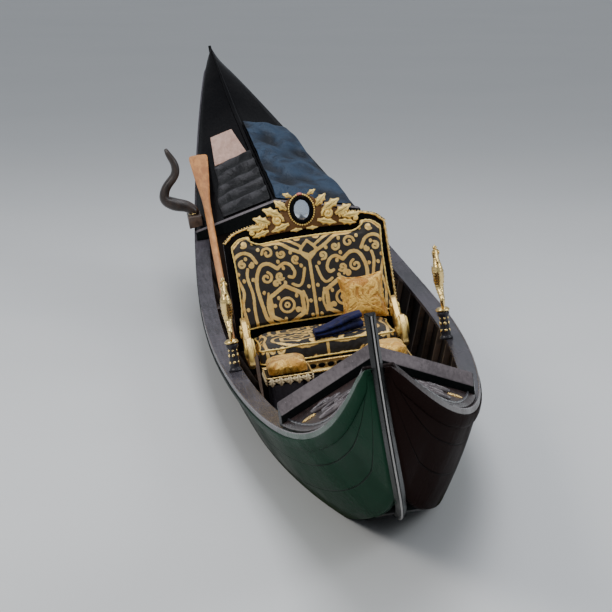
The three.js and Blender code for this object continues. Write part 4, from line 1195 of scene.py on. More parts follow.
def make_coaming(word, deck):
    """A gabled board across the deck's open end, its top sloping up to the well."""
    turn = 1 if deck["peak_aft"] else -1
    edge = deck["stop" if deck["peak_aft"] else "start"] + turn * SEAT_GAP
    rows = []
    for s, climb in ((edge, 0), (edge + turn * deck["board"], deck["slope"])):
        hull, outline = coaming_outline(s, deck, climb)
        rows.append([hull.point(y, z) for y, z in outline])
    # the board's two top faces take the light lacquer, a painted sky reflection
    board = Shape().grid(rows, finish=[0, 1, 1, 0, 0, 0])
    black(f"{word}_board", board, [LACQUER, HIGHLIGHT_LACQUER], f"{word}_coaming", bevel=0.006)


def make_aft_beading():
    """Gilt beads along the slopes of the stern deck's board."""
    edge = AFTDECK["start"] - SEAT_GAP
    hull, outline = coaming_outline(edge, AFTDECK, 0)
    (foot_y, foot_z), (_, peak) = outline[1], outline[2]
    for side, sign in SIDES.items():
        path = [(edge + 0.002, hull.yc + sign * lerp(foot_y - 0.006, 0.004, k / 12),
                 lerp(foot_z, peak, k / 12) - 0.013) for k in range(13)]
        beads(f"aftdeck_beading_{side}", path, 0.019, 0.0042)


CARVING_AT, SLOPE_WIDTH = 1.35, 0.36


def make_deck_carving():
    """Gilt rosettes, low scrolls and a border on the bow deck's two slopes."""
    carving, gilding = Shape(), Shape()
    for sign in SIDES.values():
        def relief(p, q, d, sign=sign):
            """p aft of the carving's middle, q out from the slope's middle, d above the deck."""
            hull = Hull(CARVING_AT + p)
            y, z = half_and_height(FOREDECK, hull, sign * (0.5 + q / SLOPE_WIDTH))
            return hull.point(y, z + 0.0008 + d)
        carve(carving, relief, (
            ((0.20, 0.03), (-0.12, 0.0), 0.040, 0.012, 5), ((0.44, -0.02), (0.22, -0.09), 0.030, 0.011, 4),
            ((0.60, 0.02), (0.72, 0.04), 0.030, 0.012, 4)), (
            ((0.10, 0.02), 0.11, 0.0, 1.3, 0.010, 0.010), ((0.33, -0.01), 0.10, 0.5, -1.3, 0.010, 0.010),
            ((0.54, 0.02), 0.085, 0.0, 1.2, 0.010, 0.010)))
        # the gilt rosettes stand where the deck shows an orange spot of reflection, so their gilt is partly
        # a painted reflection
        p, q = 0.455, 0.118
        tips = [(p + 0.040 * math.cos(a), q + 0.030 * math.sin(a)) for a in turns_of(8)]
        carve(gilding, relief, [((p, q), tip, 0.011, 0.007, 2) for tip in tips])
    # the scrolls take the light lacquer: a painted highlight
    black("foredeck_scrolls", carving, HIGHLIGHT_LACQUER)
    make("foredeck_rosettes", gilding, GILT)
    for side, sign in SIDES.items():
        line = []
        for hull in stations(0.4, FOREDECK["stop"] - 0.01, 0.06):
            y, z = half_and_height(FOREDECK, hull, sign * 0.93)
            line.append(hull.point(y, z + 0.003))
        cord_trim(f"foredeck_border_{side}", line, 0.0055, TRIM_LACQUER, closed=False,
                  turns=60, swell=0.25)


# Floor, frames, seats and lockers

def make_floor():
    shape = Shape()
    boards, gap = 6, 0.007
    for start, stop in FLOOR_LENGTHS:
        for k in range(boards):
            def section(hull):
                top = hull.floor_top
                low = top - FLOOR_THICK
                half = hull.inner(low) - 0.045
                left, right = (lerp(-half, half, (k + end) / boards) for end in (0, 1))
                left, right = left + gap / 2, right - gap / 2
                return [(left, low), (left, top), (right, top), (right, low)]
            along(shape, start, stop, section, step=0.12)
    nodes = ["floorboards_fore", "floorboards_middle", "floorboards_aft"]
    make("floor_planks", shape, LARCH, nodes, bevel=0.003)
    dressed("floor_frames", RIB_WOOD, bevel=0.004)
    for name in ("fore_thwart", "aft_thwart"):
        dressed(name, WALNUT_Y, bevel=0.006)


def make_lockers():
    """Bulkheads and doors: walnut boards, with brass on the hinges' leaves and knuckles."""
    for word, outward in (("fore", 1), ("aft", -1)):
        plane, door = BULKHEAD_X[word], word + "_door"

        def fitting(centre):
            return 1 if (plane - centre.x) * outward > 0.0012 else 0
        dressed(word + "_bulkhead", [WALNUT_Z, BRASS], bevel=0.0025, choose=fitting)
        dressed(door, [WALNUT_Z, BRASS], door, bevel=0.0025, choose=fitting)
        low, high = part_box(door)
        middle = boat_points(np.array([[plane, (low.y + high.y) / 2, (low.z + high.z) / 2]]))[0]
        s, y, z = MIDSHIP - plane + outward * 0.001, middle[1] - 0.11, middle[2]
        pull = Shape().lathe([(TINY, -0.001), (0.016, 0), (0.017, 0.003), (0.008, 0.006), (0.006, 0.014),
                              (TINY, 0.015)], (s, y, z), 16, (outward, 0, 0))
        loop = [(s + outward * 0.011, y + 0.016 * math.sin(a), z - 0.014 + 0.016 * math.cos(a))
                for a in (*turns_of(24), 2 * math.pi)]
        make(f"{door}_pull", pull.tube(loop, 0.0025), BRASS, body=door)


# Sofa

SEAT_TOP, SEAT_FRONT, SEAT_BACK = 0.330, 5.050, 5.590
SOFA_Y, SEAT_HALF, BASE_HALF = 0.140, 0.410, 0.370
RAKE = math.radians(7)
CUSHION_FOOT = SEAT_TOP - 0.1
BACK_FOOT, BACK_FACE = CUSHION_FOOT, SEAT_BACK + 0.004
# The back board's faces, forward of the cushion's (so behind it), and the crest's oval mirror
BOARD_REAR, BOARD_THICK = -0.1, 0.04
BOARD_FACE = BOARD_REAR + BOARD_THICK
MIRROR_UP = 0.765


def on_back(across, up, out):
    """A point on the sofa's leaning back: across, up its face and forward of it."""
    return (BACK_FACE - out * math.cos(RAKE) + up * math.sin(RAKE), SOFA_Y + across,
            BACK_FOOT + out * math.sin(RAKE) + up * math.cos(RAKE))


def back_plane(point):
    s, y, z = point
    return y - SOFA_Y, (s - BACK_FACE) * math.sin(RAKE) + (z - BACK_FOOT) * math.cos(RAKE)


def seat_plane(point):
    """The seat seen from above, its front face folded up by half."""
    s, y, z = point
    return y - SOFA_Y, s - SEAT_FRONT - 0.5 * (SEAT_TOP - z)


def crest_outline(margin):
    """The crest's outline (across, up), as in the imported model."""
    low, half, m = 0.632 - margin, 0.3 + margin, margin
    arcs = [((-half, low), (0, low + 0.03), (half, low)),
            ((half, low), (half + 0.025, 0.7 + m), (half - 0.06, 0.716 + m)),
            ((half - 0.06, 0.716 + m), (0.2, 0.77 + m), (0.13, 0.76 + m)),
            ((0.13, 0.76 + m), (0.09, 0.85 + m), (0, 0.868 + m))]
    arcs += [tuple((-p, q) for p, q in reversed(arc)) for arc in reversed(arcs[1:])]
    return [tuple((1 - t) ** 2 * a[i] + 2 * t * (1 - t) * b[i] + t * t * c[i] for i in range(2))
            for a, b, c in arcs for t in (k / 6 for k in range(6))]


def arched(half, low, side, top, steps=28):
    line = [(-half, low), (half, low), (half, side)]
    for i in range(1, steps):
        a = math.pi * i / steps
        line.append((half * 0.94 * math.cos(a), side + 0.02 + (top - side - 0.02) * math.sin(a)))
    return [*line, (-half, side)]


def back_cushion_outline():
    """The arched back less the crest that stands on it."""
    arch = [(p, q) for p, q in arched(0.446, 0.114, 0.614, 0.70, 40)[3:-1] if p > 0.335]
    right = [(0.446, 0.114), (0.446, 0.614), *arch, (0.333, 0.655), (0.312, 0.626)]
    top = [(0.30 * t, 0.621 + 0.012 * (1 - t ** 2)) for t in (lerp(1, -1, k / 10) for k in range(11))]
    return [*right, *top, *((-p, q) for p, q in reversed(right))]


def rounded_box(length, width, radius, steps=6):
    line = []
    for su, sv, start in ((1, 1, 0), (-1, 1, 1), (-1, -1, 2), (1, -1, 3)):
        for k in range(steps + 1):
            a = math.pi / 2 * (start + k / steps)
            line.append((su * (length / 2 - radius) + radius * math.cos(a),
                         sv * (width / 2 - radius) + radius * math.sin(a)))
    return line


def on_both(place):
    """The two halves of a carving that mirrors itself across its middle."""
    return [lambda p, q, d, sign=sign: place(sign * p, q, d) for sign in (1, -1)]


def make_sofa_frame():
    floor = Hull(SEAT_BACK + 0.11).floor_top + SEAT_GAP
    top = SEAT_TOP - 0.1045
    low, high = (SEAT_FRONT + 0.015, SOFA_Y - BASE_HALF, floor), (SEAT_BACK + 0.11, SOFA_Y + BASE_HALF, top)
    black("sofa_box", Shape().block(low, high), DECK_LACQUER, "sofa_base", bevel=0.006)
    panels = Shape()
    for k in range(3):
        left, right = (lerp(low[1] + 0.02, high[1] - 0.02, end / 3) for end in (k, k + 1))
        panels.block((low[0] - 0.010, left + 0.012, floor + 0.05),
                     (low[0] + 0.001, right - 0.012, top - 0.085))
    black("sofa_front_panels", panels, TRIM_LACQUER, bevel=0.004)
    back = Shape().plate(arched(0.474, 0.008, 0.640, 0.735),
                         lambda p, q, d: on_back(p, q, BOARD_REAR + d), BOARD_THICK)
    black("sofa_back_board", back, DECK_LACQUER, "sofa_back", bevel=0.006)
    edge = [on_back(p, q, BOARD_FACE + 0.0025) for p, q in arched(0.4655, 0.07, 0.632, 0.727, 40)[1:]]
    cord_trim("back_gilt_moulding", edge, 0.0065, closed=False, turns=160, swell=0.22)
    nails = [on_back(p, q, BOARD_FACE + 0.001) for p, q in arched(0.4725, 0.07, 0.638, 0.735, 40)[1:]]
    beads("back_nail_heads", nails, 0.017, 0.0042)


def make_seat_rail():
    """The seat's carved gilt front rail with its row of dark ovals."""
    top, face = SEAT_TOP - 0.106, SEAT_FRONT + 0.015

    def across(half, out, drop):
        return [(face - out, SOFA_Y + y, top - drop) for y in (-half, half)]
    section = ((0.0, 0.0), (0.014, 0.0), (0.018, 0.006), (0.014, 0.014), (0.010, 0.05), (0.014, 0.058),
               (0.018, 0.064), (0.012, 0.072), (0.0, 0.072))
    rail = Shape().grid(list(zip(*(across(0.385, *corner) for corner in section))))
    make("seat_front_rail", rail, GILT, bevel=0.0015)
    beads("rail_dark_ovals", across(0.36, 0.0125, 0.033), 0.048, 0.0175, DECK_LACQUER,
          (0.45, 0.8, 1.15))
    beads("rail_oval_rims", across(0.384, 0.0105, 0.033), 0.048, 0.008, stretch=(0.6, 2.1, 0.6))
    for k, drop in enumerate((0.004, 0.066)):
        beads(f"rail_beading_{k}", across(0.38, 0.018, drop), 0.014, 0.005)


def make_back_carving():
    """Gilt border and a carved palm on the rear face of the sofa's back."""
    def place(p, q, d):
        return on_back(p, q, BOARD_REAR - d)
    border = [place(p, q, 0.002) for p, q in closed_line(arched(0.415, 0.075, 0.590, 0.675, 40))]
    cord_trim("rear_border", border, 0.006, turns=160, swell=0.22)
    carving = Shape()
    for half in on_both(place):
        carve(carving, half, (
            ((0.006, 0.345), (0.050, 0.520), 0.024, 0.012, 4),
            ((0.012, 0.335), (0.120, 0.470), 0.026, 0.012, 4),
            ((0.016, 0.320), (0.170, 0.385), 0.026, 0.012, 4),
            ((0.016, 0.300), (0.175, 0.275), 0.024, 0.012, 4),
            ((0.012, 0.285), (0.115, 0.175), 0.024, 0.012, 4)), (
            ((0.235, 0.360), 0.052, 0.5, -1.3, 0.009, 0.010),
            ((0.225, 0.235), 0.044, 0.5, 1.2, 0.009, 0.010),
            ((0.330, 0.300), 0.040, 0.1, 1.3, 0.009, 0.010),
            ((0.300, 0.500), 0.050, 0.75, -1.2, 0.009, 0.010)))
    carve(carving, place, (
        ((0, 0.330), (0, 0.560), 0.026, 0.014, 5), ((0, 0.290), (0, 0.125), 0.024, 0.012, 4)))
    make("rear_carving", carving, CREAM)


def make_sofa_cushions():
    outline = back_cushion_outline()
    back = object_of("back_padding", Shape().plate(
        outline, lambda p, q, d: on_back(p, q, BOARD_FACE + 0.0035 + d), 0.058))
    even_skin(back, 0.006, 8)
    swell(back, 0.022)
    press(back, on_back(0, 0, BOARD_FACE + 0.0008), (-math.cos(RAKE), 0, math.sin(RAKE)))
    embroider(back, back_pattern(), back_plane)
    settle(back, DAMASK, "back_cushion")
    line = [on_back(1.03 * p, lerp(0.414, q, 1.03), 0.020) for p, q in closed_line(outline)]
    cord_trim("back_piping", seated(back, line), 0.0052, material=CREAM)

    length, width = SEAT_BACK - SEAT_FRONT - 0.03, 2 * SEAT_HALF - 0.03
    middle = (SEAT_FRONT + SEAT_BACK) / 2
    outline = rounded_box(length, width, 0.05)
    seat = object_of("seat_padding", Shape().plate(
        outline, lambda u, v, d: (middle + u, SOFA_Y + v, CUSHION_FOOT + d), 0.086, rim=0.028, steps=3))
    even_skin(seat, 0.006, 8)
    swell(seat, 0.024)
    press(seat, (0, 0, CUSHION_FOOT - 0.0036), (0, 0, 1))
    embroider(seat, seat_pattern(), seat_plane)
    settle(seat, DAMASK, "seat_cushion")
    outline = closed_line(rounded_box(length + 0.05, width + 0.05, 0.06))
    for name, rise in (("seat_piping", 0.01), ("seat_lower_piping", -0.11)):
        line = [(middle + u, SOFA_Y + v, SEAT_TOP + rise) for u, v in outline]
        cord_trim(name, seated(seat, line), 0.0052, material=CREAM)


def make_crest():
    def place(p, q, d):
        return on_back(p, q, -0.034 + d)

    def oval(across, up, d, count):
        return [place(across * math.cos(a), MIRROR_UP + up * math.sin(a), d) for a in turns_of(count)]
    board = Shape().plate(crest_outline(-0.006), lambda p, q, d: on_back(p, q, BOARD_FACE + 0.0005 + d),
                          0.026, rim=0.008, steps=2)
    make("crest_board", board, GILT_GROUND, "sofa_crest")
    carving = Shape()
    for half in on_both(place):
        carve(carving, half, (
            ((0.085, 0.775), (0.150, 0.838), 0.030, 0.024, 3),
            ((0.118, 0.742), (0.224, 0.798), 0.035, 0.030, 3),
            ((0.190, 0.712), (0.286, 0.754), 0.034, 0.027, 3),
            ((0.235, 0.692), (0.328, 0.694), 0.029, 0.023, 3),
            ((0.205, 0.672), (0.303, 0.646), 0.025, 0.020, 3),
            ((0.082, 0.694), (0.190, 0.662), 0.029, 0.024, 3),
            ((0.046, 0.845), (0.096, 0.870), 0.018, 0.018, 2),
            ((0.012, 0.655), (0.082, 0.652), 0.015, 0.018, 2)), (
            ((0.146, 0.722), 0.034, 0.55, -1.3, 0.0105, 0.022),
            ((0.236, 0.704), 0.026, 0.6, -1.2, 0.0090, 0.022),
            ((0.178, 0.775), 0.019, 0.1, 1.1, 0.0075, 0.022),
            ((0.108, 0.808), 0.015, 0.9, 1.0, 0.0065, 0.022),
            ((0.300, 0.672), 0.016, 0.3, -1.1, 0.0065, 0.022)))
    make("crest_carving", carving, CREAM)
    cord_trim("mirror_dark_rim", oval(0.058, 0.072, 0.014, 40), 0.0125, DECK_LACQUER,
              turns=40, swell=0)
    beads("mirror_beading", oval(0.073, 0.088, 0.010, 48), 0.0135, 0.0058, material=CREAM, closed=True)
    domed = [math.pi / 2 * k / 6.6 for k in range(7)]
    glass = [oval(0.052 * math.cos(a), 0.066 * math.cos(a), 0.011 + 0.010 * math.sin(a), 32) for a in domed]
    make("mirror", Shape().grid(glass), GLASS, "crest_mirror")
    foot, over = (Vector(place(0, up, 0.002)) for up in (0.852, 1.852))
    stone = [(TINY, -0.006), (0.016, -0.004), (0.019, 0.004), (0.012, 0.010), (TINY, 0.0125)]
    make("crest_finial", Shape().lathe(stone, foot, 16, over - foot), RED_ENAMEL)


def make_arms():
    start, foot = SEAT_BACK - 0.07, SEAT_TOP - 0.104
    outline = flat_spline([(0, 0), (0.43, 0), (0.468, 0.05), (0.452, 0.125), (0.405, 0.168), (0.35, 0.15),
                           (0.25, 0.115), (0.13, 0.165), (0.06, 0.208), (0, 0.22)], 4)
    for word, sign in SIDES.items():
        def place(u, v, d, y=SOFA_Y + sign * (SEAT_HALF + 0.024)):
            return start - u, y + d, foot + v
        arm = Shape().plate(outline, lambda u, v, d: place(u, v, d - 0.017), 0.034)
        make(f"arm_board_{word}", arm, GILT, f"sofa_arm_{word}", bevel=0.006, segments=3)
        scrolls = Shape()
        for face in (1, -1):
            carve(scrolls, lambda u, v, d: place(u, v, face * (0.0165 + 0.6 * d)), (
                ((0.33, 0.03), (0.10, 0.05), 0.026, 0.012, 5),
                ((0.33, 0.115), (0.14, 0.135), 0.018, 0.010, 4)), (
                ((0.395, 0.098), 0.058, 0.45, -1.6, 0.010, 0.012),
                ((0.06, 0.14), 0.045, 0.1, 1.3, 0.008, 0.012)))
        front = [place(u, v, 0) for u, v in ((0.436, 0.004), (0.458, 0.05), (0.447, 0.105), (0.415, 0.140))]
        scrolls.tube(spline(front, 5), 0.0155, 10)
        make(f"arm_scrolls_{word}", scrolls, CREAM)
        eye = [(TINY, -0.0225), (0.012, -0.022), (0.014, 0), (0.012, 0.022), (TINY, 0.0225)]
        black(f"arm_eye_{word}", Shape().lathe(eye, place(0.395, 0.098, 0), 14, (0, 1, 0)), DECK_LACQUER)


def make_pillow():
    """A square satin pillow leaning on the back, its sides pulled in between pointed corners."""
    s, y, z, tilt = 5.400, 0.397, 0.481, -0.2
    half, deep, steps = 0.139, 0.040, 14
    lean, fall = math.cos(tilt), math.sin(tilt)

    def place(u, v, d):
        return s + d * lean - v * fall, y + u, z + v * lean + d * fall

    def pull(t):
        return half * (1 - 0.10 * (1 - t * t))
    spots = [lerp(-1, 1, k / steps) for k in range(steps + 1)]
    rows = []
    for face in (1, -1):
        for v in (face * spot for spot in spots):
            domes = [face * (deep * ((1 - u ** 4) * (1 - v ** 4)) ** 0.7 + 0.004) for u in spots]
            rows.append([place(u * pull(v), v * pull(u), dome) for u, dome in zip(spots, domes)])
    shape = Shape().grid([*rows, rows[0]], closed=False)
    for column in (0, steps):
        count = len(shape.points)
        shape.points += [row[column] for row in rows]
        shape.face(list(range(count, count + len(rows))), [(0, 0)] * len(rows), 0)
    pillow = object_of("satin_pillow", shape)
    even_skin(pillow, 0.005, 3)
    swell(pillow, 0.014, pressure=5)
    finer(pillow)
    settle(pillow, SATIN, "gold_pillow")
    side = [(1.05 * half * t, 1.05 * pull(t)) for t in (lerp(-1, 1, k / 12) for k in range(12))]
    edge = [(a, -b) for a, b in side] + [(b, a) for a, b in side] + [(-a, b) for a, b in side]
    edge += [(-b, -a) for a, b in side]
    line = seated(pillow, [place(u, v, 0) for u, v in edge], 0.001)
    cord_trim("pillow_piping", line, 0.0042, SATIN)


def make_blanket():
    """A blue blanket folded over itself on the seat, its layers fanned out to port."""
    s0, y0, z0 = 5.190, 0.215, SEAT_TOP + 0.002
    width, run, layers, pitch, radius = 0.282, 0.176, 5, 0.0165, 0.0055
    path = []
    for k in range(layers):
        turn = 1 if k % 2 == 0 else -1
        reach = run * (1 - 0.04 * k)
        for i in range(13):
            u = turn * lerp(-0.5, 0.5, i / 12)
            path.append((u * reach, radius + pitch * k + 0.002 * math.sin(7 * u + 1.7 * k)))
        if k < layers - 1:
            for a in (math.pi * i / 4 for i in range(1, 4)):
                path.append((turn * (0.5 * reach + math.sin(a) * pitch * 0.5),
                             radius + pitch * (k + 0.5 - 0.5 * math.cos(a))))
    rows = []
    for u, h in path:
        row = []
        for j in range(19):
            v = lerp(-0.5, 0.5, j / 18)
            fan = lerp(0.50, 1.42, j / 18)
            wave = 0.006 * math.sin(6.5 * v + 8 * u) * min(h / 0.04, 1)
            row.append((s0 + u + 0.010 * math.sin(3.4 * v) + 0.05 * v * (h / 0.08),
                        y0 + v * width, z0 + radius + (h - radius) * fan + max(wave, -0.002)))
        rows.append(row)
    piece = thicken(object_of("folded_blanket", Shape().grid(rows, closed=False)), 0.0055)
    settle(piece, BLUE, "blue_cloth")
    distances(path)[-1]


STOOL_S, STOOL_Y = 4.450, {"starboard": -0.140, "port": 0.400}
STOOL_LENGTH, STOOL_WIDTH = 0.280, 0.240
LEG_TOP, STOOL_TOP = 0.2549, 0.2995
# A turned leg: radius and height, drawn for a leg of LEG_DRAWN
LEG_DRAWN = 0.262
LEG = [(0.006, 0), (0.013, 0.002), (0.016, 0.012), (0.010, 0.03), (0.009, 0.06), (0.013, 0.13),
       (0.0155, 0.19), (0.011, 0.225), (0.0155, 0.235), (0.010, 0.245), (0.016, 0.262)]


def make_stools():
    for word, y in STOOL_Y.items():
        s = STOOL_S
        floor = Hull(s - 0.131).floor_top + SEAT_GAP
        long, wide = STOOL_LENGTH / 2, STOOL_WIDTH / 2
        seat = Shape().block((s - long, y - wide, LEG_TOP + 0.0001), (s + long, y + wide, STOOL_TOP))
        black(f"stool_seat_{word}", seat, DECK_LACQUER, f"stool_{word}", bevel=0.006)
        legs = Shape()
        profile = [(radius, height / LEG_DRAWN * (LEG_TOP - floor)) for radius, height in LEG]
        for a in (-0.115, 0.115):
            for b in (-0.095, 0.095):
                legs.lathe(profile, (s + a, y + b, floor), 14)
            legs.tube([(s + a, y + b, floor + 0.09) for b in (-0.09, 0.09)], 0.006)
        black(f"stool_legs_{word}", legs, TRIM_LACQUER)
        apron = Shape()
        ends = [lerp(-0.096, 0.096, k / 4) for k in range(5)]
        sides = [lerp(-0.118, 0.118, k / 5) for k in range(6)]
        for face in (-1, 1):
            carve(apron, lambda u, v, d: (s + face * (long + 0.0005 + d), y + u, v),
                  [((u, 0.297), (u, 0.250), 0.025, 0.012, 3) for u in ends],
                  [((u + 0.024, 0.280), 0.011, 0.75, 0.9, 0.0048, 0.010) for u in ends[:-1]])
            carve(apron, lambda u, v, d: (s + u, y + face * (wide + 0.0005 + d), v),
                  [((u, 0.297), (u, 0.252), 0.024, 0.011, 3) for u in sides])
        make(f"stool_carving_{word}", apron, IVORY)
        edge = rounded_box(STOOL_LENGTH + 0.006, STOOL_WIDTH + 0.006, 0.01, 2)
        loop = [(s + u, y + v, STOOL_TOP - 0.003) for u, v in edge]
        cord_trim(f"stool_cord_{word}", loop, 0.0045)
        pad = object_of(f"stool_padding_{word}", Shape().plate(
            rounded_box(0.25, 0.216, 0.035), lambda u, v, d: (s + u, y + v, STOOL_TOP + 0.0025 + d), 0.060,
            rim=0.022, steps=3))
        even_skin(pad, 0.005, 4)
        swell(pad, 0.017)
        press(pad, (0, 0, STOOL_TOP + 0.0013), (0, 0, 1))
        finer(pad)
        settle(pad, SATIN, f"stool_cushion_{word}")


# Rail ornaments

ORNAMENT_AT, ORNAMENT_Y = 4.150, {"port": 0.700, "starboard": -0.424}
PEDESTAL_HEIGHT = 0.150


def make_pedestal(word, foot):
    profile = [(TINY, 0.0002), (0.034, 0.0002), (0.036, 0.008), (0.030, 0.016), (0.026, 0.022),
               (0.029, 0.034), (0.0255, 0.06), (0.0225, 0.10), (0.024, 0.118), (0.031, 0.128),
               (0.033, 0.138), (0.029, 0.1496), (TINY, 0.1498)]
    black(f"pedestal_turned_{word}", Shape().lathe(profile, foot, 28), TRIM_LACQUER, f"pedestal_{word}")
    studs = Shape()
    for high, out, size in ((0.048, 0.0255, 0.0085), (0.086, 0.0255, 0.0085), (0.112, 0.0238, 0.006)):
        for k in range(6):
            a = math.pi * k / 3
            centre = (foot[0] + out * math.cos(a), foot[1] + out * math.sin(a), foot[2] + high)
            studs.lathe([(TINY, -0.002), (size, -0.0015), (size * 1.05, 0.0012), (size * 0.5, 0.0028),
                         (TINY, 0.0032)], centre, 10, (math.cos(a), math.sin(a), 0))
    make(f"pedestal_studs_{word}", studs, BRASS)


def seahorse_body(at):
    """The figure's body, with its spine and the radius along it."""
    body = Shape()
    foot = [(TINY, 0), (0.036, 0), (0.038, 0.006), (0.033, 0.013), (0.026, 0.018), (TINY, 0.02)]
    body.lathe(foot, at(0, 0), 24)
    spine = spline([at(u, v) for u, v in (
        (0.010, 0.022), (0.040, 0.036), (0.050, 0.066), (0.024, 0.090), (0.000, 0.118), (-0.004, 0.150),
        (0.012, 0.186), (0.026, 0.218), (0.020, 0.252), (0.002, 0.280), (0.008, 0.306), (0.030, 0.316))], 6)
    knots = [0.007, 0.010, 0.013, 0.016, 0.021, 0.026, 0.030, 0.029, 0.022, 0.016, 0.019, 0.020]
    radii = []
    for i in range(len(spine)):
        t = i / (len(spine) - 1) * (len(knots) - 1)
        k = min(int(t), len(knots) - 2)
        radii.append(lerp(knots[k], knots[k + 1], t - k) * (1 + 0.055 * math.cos(2.1 * i)))
    body.tube(spine, radii, 16, 0.98, (0, 1, 0))
    curl = []
    for k in range(23):
        reach, a = 0.026 * lerp(1, 0.25, k / 22), 0.42 * k - 0.6
        curl.append(at(0.010 + reach * math.cos(a), 0.052 + reach * math.sin(a)))
    body.tube(curl, [lerp(0.010, 0.004, k / 22) for k in range(23)], 10)
    snout = spline([at(0.024, 0.318), at(0.046, 0.306), at(0.066, 0.286), at(0.082, 0.272)], 5)
    body.tube(snout, [lerp(0.019, 0.0085, k / 15) for k in range(16)], 14, 0.8, (0, 1, 0))
    mouth = [(TINY, 0), (0.0105, 0.001), (0.0095, 0.007), (TINY, 0.008)]
    body.lathe(mouth, at(0.080, 0.274), 12, (-0.8, 0, -0.6))
    for sign in (1, -1):
        body.lathe([(TINY, -0.003), (0.0062, 0), (0.0052, 0.004), (TINY, 0.0055)],
                   at(0.040, 0.318, sign * 0.0135), 12, (0, sign, 0))
    crown = [(TINY, -0.010), (0.007, -0.006), (0.0125, 0), (0.0115, 0.008), (0.005, 0.0125), (TINY, 0.0135)]
    body.lathe(crown, at(0.012, 0.338), 16)
    return body, spine, radii


def seahorse_fins(at, spine, radii):
    fins = Shape()
    for k in range(13):
        i = 6 + k * 4
        ahead = Vector(spine[i + 1]) - Vector(spine[i - 1])
        back = Vector((ahead.z, 0, -ahead.x)).normalized()
        if back.x < 0:
            back = -back
        root = Vector(spine[i]) + back * radii[i] * 0.66
        size = 0.010 + 0.013 * math.sin(math.pi * (k + 1) / 14)
        up = ahead.normalized()
        tip = root + back * size + up * size * 0.5
        rows = []
        for centre, thick, high in ((root, 0.0042, 0.0085), (tip, 0.00126, 0.001)):
            rows.append([centre + Vector((0, y * thick, 0)) + up * v * high
                         for y, v in ((-1, -1), (1, -1), (1, 1), (-1, 1))])
        fins.grid(rows)
    for sign in (1, -1):
        carve(fins, lambda u, v, d: at(u, v, sign * (0.022 + d)), (
            ((0.022, 0.190), (-0.038, 0.236), 0.021, 0.007, 4),
            ((0.010, 0.150), (-0.030, 0.176), 0.014, 0.005, 3)))
    for k in range(5):
        u, v = lerp(-0.012, 0.030, k / 4), lerp(0.300, 0.338, math.sin(math.pi * (k + 1) / 7))
        fins.lathe([(TINY, 0), (0.0055, 0.002), (TINY, 0.022)], at(u, v), 8, (0.25 * (2 - k), 0, 1))
    return fins


def make_seahorses():
    """Brass sea-horses with curled tails and finned backs, on turned black pedestals."""
    base = Hull(ORNAMENT_AT - 0.036).rail_top + SEAT_GAP
    for word, y in ORNAMENT_Y.items():
        make_pedestal(word, (ORNAMENT_AT, y, base))

        def at(u, v, d=0.0):
            """u forward, v up and d to port, from the figure's foot."""
            return ORNAMENT_AT - u, y + d, base + PEDESTAL_HEIGHT + SEAT_GAP + v
        body, spine, radii = seahorse_body(at)
        make(f"seahorse_body_{word}", body, BRASS, f"seahorse_{word}")
        make(f"seahorse_fins_{word}", seahorse_fins(at, spine, radii), BRASS)


# Rowing gear and the covers on the stern deck

OARLOCK = {"s": 8.130, "y": -0.408}
BLOCK_HEIGHT = 0.052
# Each knot: outwards and up from the foot, then half the width across and along
OARLOCK_KNOTS = [
    (0, 0, 0.034, 0.058), (0, 0.024, 0.036, 0.060), (-0.044, 0.060, 0.040, 0.062),
    (-0.120, 0.086, 0.044, 0.064), (-0.176, 0.128, 0.036, 0.058), (-0.156, 0.200, 0.031, 0.052),
    (-0.088, 0.276, 0.029, 0.050), (-0.080, 0.345, 0.027, 0.046), (-0.112, 0.420, 0.020, 0.034),
    (-0.124, 0.456, 0.010, 0.018)]


def rounded(value, power):
    """A sine or cosine drawn outwards, so that a circle comes nearer to a square."""
    return math.copysign(abs(value) ** power, value)


def make_oarlock():
    """The carved walnut oarlock, with rubbed patches, standing in its block."""
    s, y = OARLOCK["s"], OARLOCK["y"]
    dressed("oarlock_block", WALNUT_X, bevel=0.005)
    deck = Hull(s)
    top = deck_height(AFTDECK, deck, y - deck.yc) + BLOCK_HEIGHT + SEAT_GAP
    line = spline([(out, up, 0) for out, up, _, _ in OARLOCK_KNOTS], 5)
    girths = spline([(across, length, 0) for _, _, across, length in OARLOCK_KNOTS], 5)
    rows = []
    for i, (spot, girth) in enumerate(zip(line, girths)):
        ahead = (line[min(i + 1, len(line) - 1)] - line[max(i - 1, 0)]).normalized()
        row = []
        for a in turns_of(20):
            across = girth.x * rounded(math.cos(a), 0.72) * 0.96
            length = girth.y * rounded(math.sin(a), 0.78) * 0.97
            row.append((s - length, y + spot.x + ahead.y * across, top + spot.y - ahead.x * across))
        rows.append(row)
    shape = Shape().grid(rows)
    shape.block((s - 0.027, y - 0.021, top - 0.036), (s + 0.027, y + 0.021, top + 0.006))
    make("oarlock_carved", shape, OARLOCK_WOOD, "oarlock", body="oarlock", smooth=True)
    for word, rise in (("low", 0.008), ("high", 0.020)):
        loop = [(s + 0.0575 * math.cos(a), y + 0.0355 * math.sin(a), top + rise) for a in turns_of(36)]
        cord_trim(f"oarlock_{word}_band", loop, 0.0022, BRASS, body="oarlock", turns=60,
                  swell=0)


